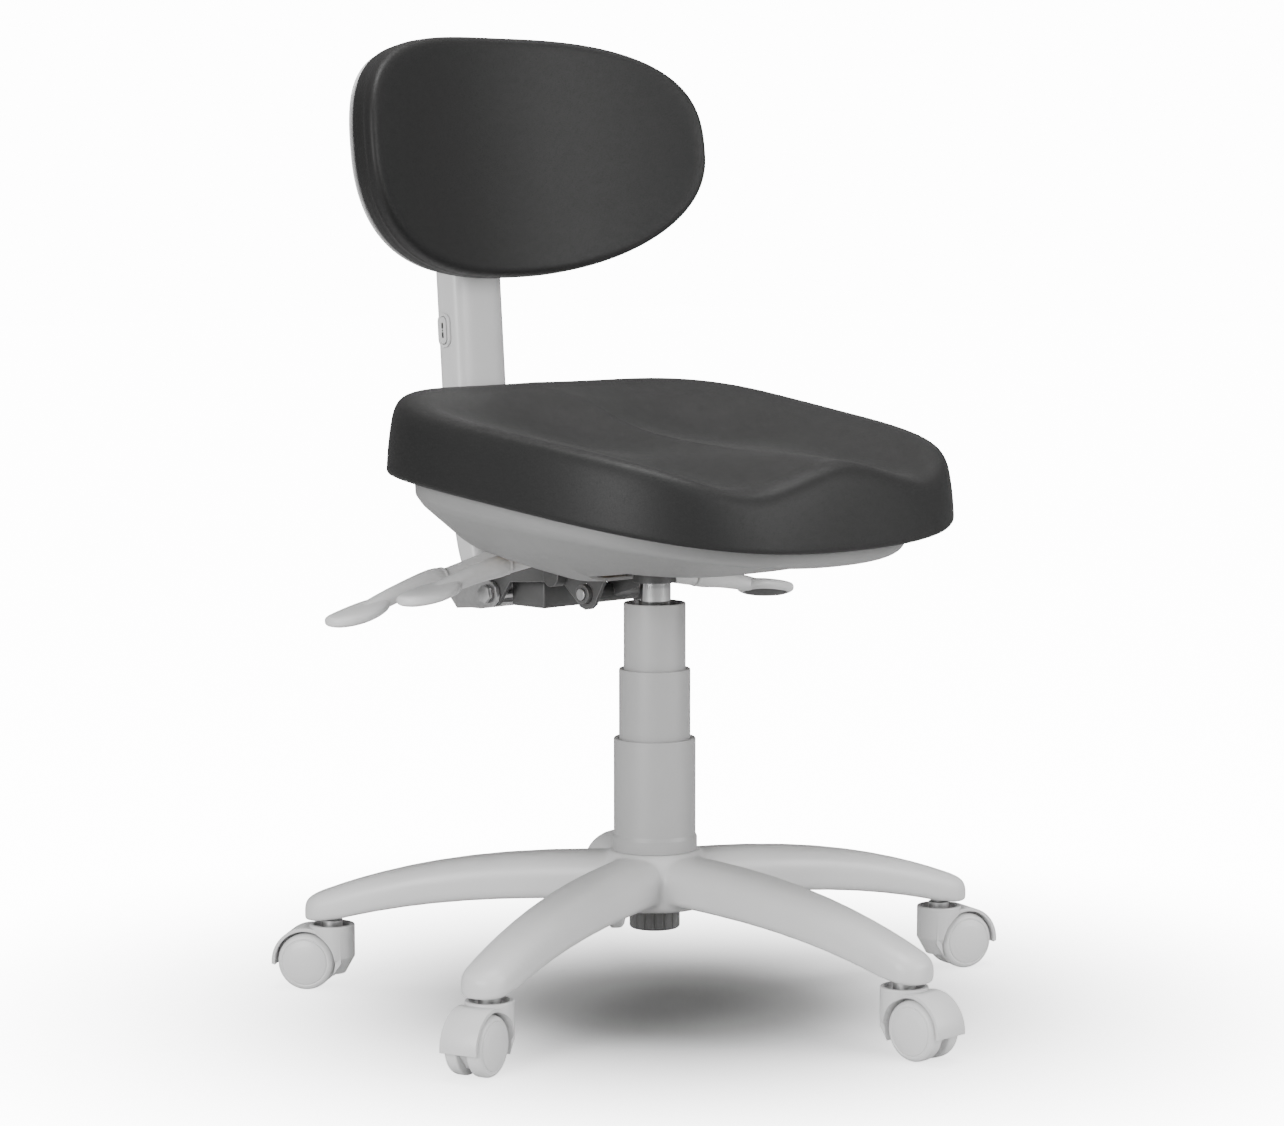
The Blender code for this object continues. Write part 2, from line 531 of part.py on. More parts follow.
# ---------------------------------------------------------------- column
def column():
    bore = TUBE_RADIUS - TUBE_WALL
    floor_low = TUBE_BOTTOM + TUBE_FLOOR
    floor_top = floor_low + 3 * MM
    tube = turned("stand_tube", [
        (TUBE_RADIUS, TUBE_TOP), (TUBE_RADIUS, floor_low), (ROD_RADIUS + FIT, floor_low),
        (ROD_RADIUS + FIT, floor_top), (bore, floor_top), (bore, TUBE_TOP)], 24)
    place(tube, STEEL, "stool", (0, 0, 0))

    bush_low = TUBE_TOP - 32 * MM
    bush = turned("guide_bush", [
        (TUBE_RADIUS - 0.2 * MM, TUBE_TOP + 2 * MM), (TUBE_RADIUS - 0.2 * MM, TUBE_TOP + FIT),
        (bore - FIT, TUBE_TOP + FIT), (bore - FIT, bush_low),
        (CYLINDER_RADIUS + FIT, bush_low), (CYLINDER_RADIUS + FIT, TUBE_TOP + 2 * MM)], 20)
    place(bush, BLACK, "stool", (0, 0, 0))

    # Ribbed cap that closes the hub from below, over the rod's clip.
    count = 56
    outline = []
    for i in range(count):
        t = 2 * math.pi * i / count
        radius = CAP_RADIUS - (1.1 * MM if i % 4 == 0 else 0)
        outline.append((radius * math.cos(t), radius * math.sin(t)))
    heights = ((CAP_BOTTOM, 0.93), (CAP_BOTTOM + 1.5 * MM, 1), (HUB_BOTTOM - FIT, 1))
    cap = loft("hub_cap", [[(x * share, y * share, z) for x, y in outline] for z, share in heights])
    spigot = rod("cap_spigot", (0, 0, HUB_BOTTOM - 3 * MM), (0, 0, TUBE_BOTTOM + TUBE_FLOOR - 1 * MM),
                 CAP_SPIGOT_RADIUS - FIT, 28, CUTTERS)
    join(cap, spigot)
    low, high = CAP_BOTTOM + 7 * MM, HUB_TOP
    cut(cap, rod("cap_hollow", (0, 0, low), (0, 0, high), CAP_RADIUS - 8 * MM, 20, CUTTERS))
    place(cap, BLACK, "stool", (0, 0, 0))

    # The piston rod hangs through the tube's floor and turns on a thrust bearing.
    bearing_top = floor_top + 1.9 * MM
    piston_low = CYLINDER_BOTTOM + 13 * MM
    piston = CYLINDER_RADIUS - CYLINDER_WALL - FIT
    piston_top = piston_low + 9 * MM
    rod_low = TUBE_BOTTOM - 6 * MM
    piston_rod = turned("piston_rod", [
        (0, piston_top), (piston, piston_top), (piston, piston_low), (ROD_RADIUS, piston_low),
        (ROD_RADIUS, rod_low), (0, rod_low)], 20)
    place(piston_rod, ZINC, "swivel_axis", (0, 0, 0))
    clip = turned("rod_clip", [
        (9 * MM, TUBE_BOTTOM + 4 * MM), (9 * MM, TUBE_BOTTOM + 2.4 * MM),
        (ROD_RADIUS + FIT, TUBE_BOTTOM + 2.4 * MM), (ROD_RADIUS + FIT, TUBE_BOTTOM + 4 * MM)], 16)
    place(clip, STEEL, "swivel_axis", (0, 0, 0))
    hole = ROD_RADIUS + FIT
    bearing = turned("thrust_bearing", [
        (BEARING_RADIUS, bearing_top), (BEARING_RADIUS, floor_top + FIT),
        (hole, floor_top + FIT), (hole, bearing_top)], 20)
    place(bearing, STEEL, "stool", (0, 0, 0))

    # Bright cylinder: guide at the bottom, tapered nose on top that wedges in the socket.
    inner = CYLINDER_RADIUS - CYLINDER_WALL
    cylinder = turned("gas_cylinder", [
        (CYLINDER_RADIUS - 1 * MM, CYLINDER_TOP), (CYLINDER_RADIUS, SOCKET_BOTTOM - 4 * MM),
        (CYLINDER_RADIUS, CYLINDER_BOTTOM), (ROD_RADIUS + FIT, CYLINDER_BOTTOM),
        (ROD_RADIUS + FIT, CYLINDER_BOTTOM + 10 * MM), (inner, CYLINDER_BOTTOM + 10 * MM),
        (inner, CYLINDER_TOP - 14 * MM), (PIN_RADIUS + FIT, CYLINDER_TOP - 14 * MM),
        (PIN_RADIUS + FIT, CYLINDER_TOP)], 24)
    place(cylinder, CHROME, "lift_axis", (0, 0, 0))
    pin_top = CYLINDER_TOP + PIN_PROUD
    pin = turned("valve_pin", [
        (0, pin_top), (PIN_RADIUS - 0.6 * MM, pin_top), (PIN_RADIUS, pin_top - 0.6 * MM),
        (PIN_RADIUS, CYLINDER_TOP - 12 * MM), (0, CYLINDER_TOP - 12 * MM)], 12)
    place(pin, ZINC, "valve_axis", (0, 0, 0))

    # Telescopic covers, widest at the bottom. The top one grips the bright cylinder.
    grip_top = COVER_TOP_EDGE - 9 * MM
    inside = COVER_TOP_RADIUS - COVER_WALL
    wall = cover_profile(COVER_TOP_RADIUS, COVER_TOP_EDGE, COVER_TOP_EDGE - COVER_LENGTH, 0)
    grip = [(inside, grip_top - 2.5 * MM), (CYLINDER_RADIUS + FIT, grip_top - 2.5 * MM),
            (CYLINDER_RADIUS + FIT, grip_top), (inside, grip_top), (inside, COVER_TOP_EDGE)]
    place(turned("cover_top", wall[:-1] + grip, 28), COVER, "lift_axis", (0, 0, 0))
    lip = COVER_MIDDLE_RADIUS - COVER_WALL - COVER_TOP_RADIUS - FIT
    middle = turned("cover_middle", cover_profile(
        COVER_MIDDLE_RADIUS, COVER_MIDDLE_EDGE, COVER_MIDDLE_EDGE - COVER_LENGTH, lip), 28)
    place(middle, COVER, "cover_axis", (0, 0, 0))
    lip = COVER_LOWER_RADIUS - COVER_WALL - COVER_MIDDLE_RADIUS - FIT
    lower = turned("cover_lower", cover_profile(
        COVER_LOWER_RADIUS, COVER_LOWER_EDGE, HUB_TOP + FIT, lip, COVER_LOWER_FLARE), 28)
    place(lower, COVER, "stool", (0, 0, 0))


def cover_profile(radius, top, bottom, lip, flare=0):
    """Tube wall with a rounded upper rim, and a lip that steadies the cover inside it."""
    inside = radius - COVER_WALL
    points = [(radius - 0.7 * MM, top), (radius, top - 0.9 * MM),
              (radius + flare, bottom), (inside + flare, bottom)]
    if lip > 0:
        points += [(inside, top - 3 * MM), (inside - lip, top - 2.5 * MM), (inside - lip, top - 0.4 * MM)]
    points.append((inside + 0.2 * MM, top) if lip <= 0 else (inside - lip + 0.4 * MM, top))
    return points


# ---------------------------------------------------------------- seat
def base_z(x, y):
    """Height of the seat's parting surface: sloping, its sides lifted a little."""
    return SEAT_BASE_Z + SEAT_SLOPE * y + SEAT_SADDLE * (x / SEAT_HALF_WIDTH) ** 2


def seat_point(t, scale, shape):
    """Plan position on the seat's outline drawn at a scale about its centre."""
    squareness, taper = shape
    across, along = squarish(t, squareness)
    x = SEAT_HALF_WIDTH * across * scale * (1 + taper * along * scale)
    return x, SEAT_CENTRE_Y + SEAT_HALF_LENGTH * along * scale


def seat_ring(scale, lift, shape=SEAT_SHAPE, count=36):
    """Ring at a share of the outline; lift(x, y) is its height."""
    ring = []
    for i in range(count):
        x, y = seat_point(2 * math.pi * (i + 0.5) / count, scale, shape)
        ring.append((x, y, lift(x, y)))
    return ring


def seat_top(x, y):
    """Thickness of the cushion: rear bolster, two seat hollows, thigh channels, front ridge."""
    u, v = x / SEAT_HALF_WIDTH, (y - SEAT_CENTRE_Y) / SEAT_HALF_LENGTH
    hollow = math.exp(-((abs(u) - 0.34) / 0.30) ** 2 - ((v - 0.22) / 0.48) ** 2)
    channel = math.exp(-((abs(u) - 0.50) / 0.22) ** 2) / (1 + math.exp((v + 0.35) / 0.12))
    ridge = math.exp(-(u / 0.20) ** 2) / (1 + math.exp((v + 0.55) / 0.12))
    bolster = (1 - 0.9 * min(1, abs(u)) ** 3) / (1 + math.exp((0.45 - v) / 0.10))
    return SEAT_THICKNESS + MM * (17 * bolster - 15 * hollow - 14 * channel + 10 * ridge)


def seat():
    cushion_rings = [seat_ring(0.993, base_z), seat_ring(1.0, lambda x, y: base_z(x, y) + 2 * MM)]
    for scale, share in ((0.99, 0.45), (0.968, 0.78), (0.925, 0.95), (0.84, 1.0), (0.6, 1), (0.32, 1)):
        cushion_rings.append(seat_ring(scale, lambda x, y, k=share: base_z(x, y) + k * seat_top(x, y)))
    cushion = loft("seat_cushion", cushion_rings)
    place(cushion, VINYL, "seat_axis", (0, 0, 0))

    def board_top(x, y):
        return base_z(x, y) - FIT

    def board_under(x, y):
        return board_top(x, y) - BOARD_THICKNESS

    scales = (0.2, 0.55, BOARD_SCALE)
    board_rings = [seat_ring(scale, board_top, PAN_SHAPE, 28) for scale in scales]
    board_rings += [seat_ring(scale, board_under, PAN_SHAPE, 28) for scale in reversed(scales)]
    place(loft("seat_board", board_rings), PLY, "seat_axis", (0, 0, 0))

    # Plastic pan: upright lip, sloping flanks and a narrow bottom, open where the mechanism is.
    def lip_bottom(x, y):
        return board_top(x, y) - PAN_LIP

    def bottom(x, y):
        return PAN_BOTTOM_Z + PAN_BOTTOM_SLOPE * y

    def flank(x, y):
        return (lip_bottom(x, y) + bottom(x, y)) / 2

    levels = ((PAN_SCALE, board_top), (PAN_SCALE - 0.004, lip_bottom),
              (0.745, flank), (0.45, bottom), (0.2, bottom))
    rings = [seat_ring(scale, lift, PAN_SHAPE) for scale, lift in levels]
    pan = loft("seat_pan", rings, open_ends=True)
    wall = pan.modifiers.new("wall", "SOLIDIFY")
    wall.thickness = PAN_WALL
    wall.offset = -1
    place(pan, PAN, "seat_axis", (0, 0, 0))
    low = PAN_BOTTOM_Z - 40 * MM
    rear = SEAT_HALF_LENGTH + 60 * MM
    notch = [(-18 * MM, low), (-18 * MM, PAN_BOTTOM_Z + 2 * MM), (41 * MM, 396 * MM), (92 * MM, 399 * MM),
             (130 * MM, 412 * MM), (rear, 430 * MM), (rear, low)]
    cut(pan, shifted(plate("pan_lever_notch", notch, 600 * MM, CUTTERS), pan))
    mouth_low, mouth_high = (-62 * MM, -112 * MM, low), (62 * MM, 200 * MM, SEAT_BASE_Z - PAN_LIP)
    cut(pan, shifted(box("pan_mouth", mouth_low, mouth_high, 0, 1, CUTTERS), pan))
    arch = [(-122 * MM, low), (-122 * MM, PAN_BOTTOM_Z + 8 * MM), (-84 * MM, PAN_BOTTOM_Z + 14 * MM),
            (-37 * MM, PAN_BOTTOM_Z + 11 * MM), (-37 * MM, low)]
    cut(pan, shifted(plate("pan_arch", arch, 230 * MM, CUTTERS), pan))


def shifted(tool, obj):
    """Parents a tool drawn in column coordinates to an object that is drawn in them too."""
    tool.parent = obj
    return tool


def mechanism():
    y, z = SEAT_PIVOT
    # Socket with its arm to the pivot tube, all one weldment on top of the gas spring.
    socket = turned("column_socket", [
        (0, CYLINDER_TOP - 1 * MM), (SOCKET_OUTER - 2.5 * MM, CYLINDER_TOP - 1 * MM),
        (SOCKET_OUTER, SOCKET_BOTTOM), (0, SOCKET_BOTTOM)], 24)
    web = [(-8 * MM, SOCKET_BOTTOM + 0.5 * MM), (y - 12 * MM, SOCKET_BOTTOM - 12 * MM),
           (y, z - PIVOT_TUBE_RADIUS * 0.8), (y + 5 * MM, z), (y + 3 * MM, z + 7 * MM),
           (14 * MM, CYLINDER_TOP - 6 * MM), (-8 * MM, CYLINDER_TOP - 6 * MM)]
    join(socket, plate("socket_web", web, 27 * MM, CUTTERS))
    half = PIVOT_TUBE_HALF
    join(socket, rod("pivot_tube", (-half, y, z), (half, y, z), PIVOT_TUBE_RADIUS, 24, CUTTERS))
    cut(socket, turned("socket_bore", [
        (0, CYLINDER_TOP + 5 * MM), (CYLINDER_RADIUS - 0.7 * MM, CYLINDER_TOP + 5 * MM),
        (CYLINDER_RADIUS + FIT, SOCKET_BOTTOM - 3 * MM), (CYLINDER_RADIUS + FIT, SOCKET_BOTTOM - 20 * MM),
        (0, SOCKET_BOTTOM - 20 * MM)], 24, CUTTERS))
    cut(socket, rod("pivot_bore", (-60 * MM, y, z), (60 * MM, y, z), BOLT_RADIUS + FIT, 16, CUTTERS))
    place(socket, STEEL, "lift_axis", (0, 0, 0))

    half += 2 * MM
    bolt = rod("seat_pivot_bolt", (-half, y, z), (half, y, z), BOLT_RADIUS, 16)
    place(bolt, ZINC, "lift_axis", (0, 0, 0))

    # Folded steel frame under the board: plate on top, a cheek at each side.
    slope = math.atan(SEAT_SLOPE)
    plate_top = SEAT_BASE_Z - FIT * 2 - BOARD_THICKNESS
    low, high = (-FRAME_HALF_WIDTH, -96 * MM, -FRAME_PLATE), (FRAME_HALF_WIDTH, 112 * MM, 0)
    frame_plate = box("seat_frame", low, high)
    place(frame_plate, STEEL, "seat_axis", (0, 0, plate_top), (slope, 0, 0))
    by, bz = BACK_PIVOT
    outline = [(-62 * MM, 402 * MM), (-20 * MM, 385 * MM), (y - 22 * MM, z + 12 * MM)]
    outline += arc((y, z), 14 * MM, 190, 330, 6)
    outline += [(y + 30 * MM, z + 8 * MM), (by - 24 * MM, bz + 12 * MM)]
    outline += arc((by, bz), 12.5 * MM, 200, 360, 6)
    outline += [(by + 12.5 * MM, 378 * MM), (136 * MM, 397 * MM), (113 * MM, 409 * MM),
                (106 * MM, 436.5 * MM),
                (0, 423.5 * MM), (-62 * MM, 415.9 * MM)]
    for side in (-1, 1):
        cheek = plate(f"frame_cheek_{side + 1}", outline, CHEEK_WALL, CUTTERS)
        fit_to(cheek, frame_plate, (side * (CHEEK_INNER + CHEEK_WALL / 2), 0, 0))
        join(frame_plate, cheek)
    side, ly, path = LEVERS["height"]
    window_y, window_z = ly - 3 * MM, path[0][1] * MM
    ends = [(side * x, window_y, window_z) for x in (30 * MM, 43 * MM)]
    window = rod("finger_window", *ends, 8.5 * MM, 14, CUTTERS)
    fit_to(window, frame_plate, (0, 0, 0))
    cut(frame_plate, window)
    for name, (hy, hz), radius in (("frame_hole_seat", SEAT_PIVOT, PIVOT_TUBE_RADIUS + FIT),
                                   ("frame_hole_back", BACK_PIVOT, BOLT_RADIUS + FIT)):
        hole = rod(name, (-70 * MM, hy, hz), (70 * MM, hy, hz), radius, 24, CUTTERS)
        fit_to(hole, frame_plate, (0, 0, 0))
        cut(frame_plate, hole)

    low, high = (-24 * MM, 114 * MM, 335 * MM), (24 * MM, by - 9 * MM, 358.5 * MM)
    place(box("back_lock_pack", low, high, 1.5 * MM), STEEL, "seat_axis", (0, 0, 0))
    hub_x = CHEEK_INNER + CHEEK_WALL + FIT
    ends = [(-x, 76 * MM, 369 * MM) for x in (hub_x, hub_x + 12 * MM)]
    hub = rod("tilt_lock_hub", *ends, 9.5 * MM, 20)
    place(hub, STEEL, "seat_axis", (0, 0, 0))

    spring = coil("tilt_spring", PIVOT_TUBE_RADIUS + FIT + 1.6 * MM, 1.3 * MM, 15.5 * MM, 3)
    place(spring, STEEL, "seat_axis", (26 * MM, y, z))


def fit_to(tool, obj, where):
    """Places a tool drawn in column coordinates against an object that is turned."""
    bpy.context.view_layer.update()
    column = Matrix.Translation((0, COLUMN_Y, 0))
    tool.parent = obj
    tool.matrix_parent_inverse = obj.matrix_world.inverted() @ column
    tool.location = where


def coil(name, radius, wire, length, turns):
    """Close-wound torsion spring about local X."""
    curve = bpy.data.curves.new(name, "CURVE")
    curve.dimensions = "3D"
    curve.bevel_depth = wire
    curve.bevel_resolution = 1
    curve.use_fill_caps = True
    count = turns * 10
    spline = curve.splines.new("POLY")
    spline.points.add(count)
    for i in range(count + 1):
        t = 2 * math.pi * i / 10
        x = -length / 2 + length * i / count
        spline.points[i].co = (x, radius * math.cos(t), radius * math.sin(t), 1)
    obj = bpy.data.objects.new(name, curve)
    PARTS.objects.link(obj)
    return obj


# ---------------------------------------------------------------- levers
def tube_along(name, stations, sides, collection=PARTS):
    """Round or oval tube through (x, z, half width, half height) stations in the plane y = 0."""
    rings = []
    for index, (x, z, wide, high) in enumerate(stations):
        before = stations[max(0, index - 1)]
        after = stations[min(len(stations) - 1, index + 1)]
        slope = Vector((after[0] - before[0], after[1] - before[1])).normalized()
        ring = []
        for i in range(sides):
            t = 2 * math.pi * (i + 0.5) / sides
            up = high * math.sin(t)
            ring.append((x - slope.y * up, wide * math.cos(t), z + slope.x * up))
        rings.append(ring)
    return loft(name, rings, collection)


def levers():
    """Each lever is a grey rod, and a grip of the same grey that widens into a paddle."""
    for name, (side, y, path) in LEVERS.items():
        hinge_x, hinge_z = path[0][0] * MM, path[0][1] * MM
        pivot = (side * hinge_x, y, hinge_z)
        frame(f"lever_{name}_axis", pivot, "seat_axis")
        (bend_x, bend_z), (ring_x, ring_z), (paddle_x, paddle_z) = [
            (x * MM - hinge_x, z * MM - hinge_z) for x, z in path[1:]]
        reach = paddle_x - ring_x
        sag = ring_z - paddle_z - reach * GRIP_SLOPE

        def along(distance, half_width, half_height, drop=0):
            """Station on the grip's middle line, at a distance past the ring."""
            z = ring_z - distance * GRIP_SLOPE - sag * (distance / reach) ** 2 - drop
            return side * (ring_x + distance), z, half_width, half_height

        thick = LEVER_RADIUS
        bar = [(0, 0, thick, thick), (side * bend_x, bend_z, thick, thick)]
        bar.append(along(-0.6 * MM, thick, thick))
        bar += [along(share * SPIGOT_LENGTH, LEVER_SPIGOT, LEVER_SPIGOT) for share in (0, 0.5, 1)]
        lever_rod = tube_along(f"lever_{name}_rod", bar, 10)
        place(lever_rod, PALE, f"lever_{name}_axis", pivot)
        if name == "height":
            join(lever_rod, crank_finger(pivot))

        half = PADDLE_LENGTH / 2
        collar = LEVER_RADIUS + 1.4 * MM
        grip = [along(0.4 * MM, collar, collar), along(6 * MM, collar + 0.6 * MM, collar + 0.6 * MM),
                along(reach * 0.38, collar, collar - 0.4 * MM), along(reach - half, 10.5 * MM, 7.8 * MM)]
        for share in (-0.72, -0.4, 0, 0.4, 0.72, 0.92, 0.995):
            wide = PADDLE_WIDTH / 2 * (1 - share * share) ** 0.4
            if share < 0:
                wide = max(wide, 10 * MM)
            grip.append(along(reach + share * half, wide, PADDLE_HALF_DEPTH * (1 - 0.3 * share ** 2)))
        paddle = tube_along(f"lever_{name}_paddle", grip, 14)
        radius = LEVER_SPIGOT + FIT
        bore = [along(d, radius, radius) for d in (-4 * MM, SPIGOT_LENGTH / 2, SPIGOT_LENGTH + 2 * FIT)]
        cut(paddle, tube_along(f"lever_{name}_bore", bore, 10, CUTTERS))
        hollow = []
        for share in (-0.82, -0.5, 0, 0.5, 0.82):
            wide = (PADDLE_WIDTH / 2 - 2.4 * MM) * (1 - share * share) ** 0.4
            hollow.append(along(reach + share * half, wide, 11 * MM, drop=7.6 * MM))
        cut(paddle, tube_along(f"lever_{name}_hollow", hollow, 10, CUTTERS))
        place(paddle, PALE, f"lever_{name}_axis", pivot)


def crank_finger(pivot):
    """Finger on the height lever that reaches over the gas spring's pin."""
    tip = Vector((0, -3 * MM, CYLINDER_TOP + PIN_PROUD + FINGER_GAP + 2.6 * MM)) - Vector(pivot)
    points = [Vector((-2 * MM, 0, 0)), Vector((10 * MM, -6 * MM, 2 * MM)),
              Vector((tip.x * 0.62, tip.y * 0.6, tip.z * 0.85)), tip]
    rings = []
    for point in points:
        ring = []
        for i in range(8):
            t = 2 * math.pi * (i + 0.5) / 8
            ring.append((point.x + 3.2 * MM * math.cos(t), point.y, point.z + 2.6 * MM * math.sin(t)))
        rings.append(ring)
    return loft("height_finger", rings, CUTTERS)


# ---------------------------------------------------------------- backrest
def bar_y(z):
    """Middle of the straight upper part of the bar."""
    return BAR_POINT[0] + (z - BAR_POINT[1]) * math.tan(BAR_LEAN)


def backrest_bar():
    # (y, z, half depth) down the bar and forwards under the seat
    line = [(bar_y(BAR_TOP_Z), BAR_TOP_Z, 1), (bar_y(640 * MM), 640 * MM, 1),
            (bar_y(540 * MM), 540 * MM, 1),
            (227 * MM, 470 * MM, 1), (218.5 * MM, 410 * MM, 0.94), (211 * MM, 374 * MM, 0.8),
            (199 * MM, 354 * MM, 0.64), (179 * MM, 344 * MM, 0.5)]
    rings = []
    for index, (y, z, share) in enumerate(line):
        before = line[max(0, index - 1)]
        after = line[min(len(line) - 1, index + 1)]
        along = Vector((after[0] - before[0], after[1] - before[1])).normalized()
        ring = []
        for i in range(20):
            across, deep = squarish(2 * math.pi * (i + 0.5) / 20, 5)
            offset = deep * BAR_DEPTH / 2 * share
            ring.append((across * BAR_WIDTH / 2, y - along.y * offset, z + along.x * offset))
        rings.append(ring)
    bar = loft("backrest_bar", rings)
    place(bar, PALE, "back_axis", (0, 0, 0))

    # Height lock in the bar's right side: bezel, and a button that sinks into a pocket.
    face = -BAR_WIDTH / 2
    lock_y = bar_y(LOCK_Z) + 2 * MM
    pocket = pill("lock_pocket", LOCK_WIDTH - 6 * MM, LOCK_HEIGHT - 6 * MM, (-10 * MM, 6 * MM), CUTTERS)
    fit_to(pocket, bar, (face, lock_y, LOCK_Z))
    pocket.rotation_euler.x = -BAR_LEAN
    cut(bar, pocket)
    bezel = pill("lock_bezel", LOCK_WIDTH, LOCK_HEIGHT, (-LOCK_PROUD - FIT, -FIT))
    through = (-20 * MM, 20 * MM)
    opening = pill("bezel_opening", LOCK_WIDTH - 5.2 * MM, LOCK_HEIGHT - 5.2 * MM, through, CUTTERS)
    cut(bezel, opening)
    place(bezel, PALE, "back_axis", (face, lock_y, LOCK_Z), (-BAR_LEAN, 0, 0))
    frame("lock_axis", (face, lock_y, LOCK_Z), "back_axis")
    depth = (-LOCK_PROUD - 1.0 * MM, 2.5 * MM)
    button = pill("lock_button", LOCK_WIDTH - 6.8 * MM, LOCK_HEIGHT - 6.8 * MM, depth)
    place(button, PALE, "lock_axis", (face, lock_y, LOCK_Z), (-BAR_LEAN, 0, 0))

    # Steel bracket that carries the bar and turns on the rear bolt.
    by, bz = BACK_PIVOT
    outer = CHEEK_INNER + CHEEK_WALL + 1 * MM
    outline = arc((by, bz), 12 * MM, 90, 270, 7)
    outline += [(206 * MM, 330 * MM), (214 * MM, 338 * MM), (214 * MM, 356 * MM), (204 * MM, 362 * MM)]
    half = outer + 1.5 * MM
    bracket = box("back_bracket", (-half, 177 * MM, 331.5 * MM), (half, 210 * MM, 335 * MM))
    for side in (-1, 1):
        ear = plate(f"bracket_ear_{side + 1}", outline, ARM_PLATE_WALL, CUTTERS)
        ear.location.x = side * (outer + ARM_PLATE_WALL / 2)
        join(bracket, ear)
    ends = [(x, by, bz) for x in (-80 * MM, 80 * MM)]
    cut(bracket, rod("bracket_hole", *ends, BOLT_RADIUS + FIT, 16, CUTTERS))
    place(bracket, ZINC, "back_axis", (0, 0, 0))

    reach = outer + ARM_PLATE_WALL + FIT
    end = reach + 2 * MM
    pivot = rod("back_pivot_bolt", (-end, 0, 0), (end, 0, 0), BOLT_RADIUS, 16)
    for side in (-1, 1):
        ends = [(side * x, 0, 0) for x in (reach, reach + 5 * MM)]
        join(pivot, rod(f"pivot_head_{side + 1}", *ends, 8.5 * MM, 16, CUTTERS))
    place(pivot, STEEL, "seat_axis", (0, by, bz))


def pill(name, width, height, depth, collection=PARTS):
    """Stadium outline in the plane of local Y and Z, from depth[0] to depth[1] along X."""
    straight = height / 2 - width / 2
    outline = arc((0, straight), width / 2, 0, 180, 8) + arc((0, -straight), width / 2, 180, 360, 8)
    rings = [[(x, y, z) for y, z in outline] for x in depth]
    return loft(name, rings, collection)


def pad_ring(scale, lift, count=32):
    """Ring of the backrest outline; lift is its place along local Y, before the wrap."""
    ring = []
    for i in range(count):
        t = 2 * math.pi * (i + 0.5) / count
        across, up = squarish(t, PAD_SQUARENESS_TOP if math.sin(t) > 0 else PAD_SQUARENESS_FOOT)
        x, z = PAD_HALF_WIDTH * across * scale, PAD_HALF_HEIGHT * up * scale
        ring.append((x, lift - PAD_WRAP * (x / PAD_HALF_WIDTH) ** 2, z))
    return ring


def backrest():
    turn = (-PAD_LEAN, 0, 0)
    centre = (0, *PAD_CENTRE)
    face = -PAD_FRONT
    profile = ((0.35, face), (0.7, face + 0.5 * MM), (0.93, face + 5 * MM), (1.0, face + 16 * MM),
               (0.99, PAD_REAR - 4 * MM), (0.965, PAD_REAR), (0.7, PAD_REAR), (0.35, PAD_REAR))
    cushion = loft("backrest_cushion", [pad_ring(scale, lift) for scale, lift in profile])
    place(cushion, VINYL, "slide_axis", centre, turn)
    front = PAD_REAR + BACK_GAP
    rear = front + BACK_SHELL_WALL
    profile = ((0.35, front), (0.7, front), (0.965, front), (0.975, front + 2.5 * MM),
               (0.9, rear), (0.5, rear))
    shell = loft("backrest_shell", [pad_ring(scale, lift) for scale, lift in profile])
    place(shell, PALE, "slide_axis", centre, turn)

    # Sleeve that slides on the bar, with a flange screwed to the shell's back.
    half = SLEEVE_LENGTH / 2
    bar_offset = (bar_y(PAD_CENTRE[1]) - PAD_CENTRE[0]) * math.cos(BAR_LEAN)
    gap = FIT + 0.1 * MM
    outer_x = BAR_WIDTH / 2 + gap + SLEEVE_WALL
    outer_y = BAR_DEPTH / 2 + gap + SLEEVE_WALL
    low = (-outer_x, bar_offset - outer_y, -half)
    high = (outer_x, bar_offset + outer_y, half)
    sleeve = box("backrest_slider", low, high, 3 * MM)
    flange = box("slider_flange", (-26 * MM, rear + FIT, -half + 6 * MM),
                 (26 * MM, low[1] + SLEEVE_WALL, half - 6 * MM), 0, 1, CUTTERS)
    flange.rotation_euler.x = BAR_LEAN - PAD_LEAN
    join(sleeve, flange)
    channel = []
    for z in (-half - 5 * MM, half + 5 * MM):
        corners = [squarish(2 * math.pi * (i + 0.5) / 20, 5) for i in range(20)]
        channel.append([(across * (BAR_WIDTH / 2 + gap), bar_offset + deep * (BAR_DEPTH / 2 + gap), z)
                        for across, deep in corners])
    cut(sleeve, loft("slider_channel", channel, CUTTERS))
    place(sleeve, PALE, "slide_axis", centre, (-BAR_LEAN, 0, 0))


star_base()
castors()
column()
seat()
mechanism()
levers()
backrest_bar()
backrest()
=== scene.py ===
# %% [markdown]
# # A dentist stool, made piece by piece
# This lesson dresses a stool whose rigid parts already exist as a plain engineering model: a star base on
# five castors, a gas-spring column, a tilting seat and a backrest. Every piece below is a smooth surface
# worked out with numpy, or an engineering part with softened edges. All of them get a finish made of nodes.
# Lengths are in metres, the sitter faces -Y, and the sitter's left hand is at +X.

# %% Load the engineering model and start from an empty stage
import json
import math

import bmesh
import bpy
import numpy as np
from mathutils import Matrix, Vector

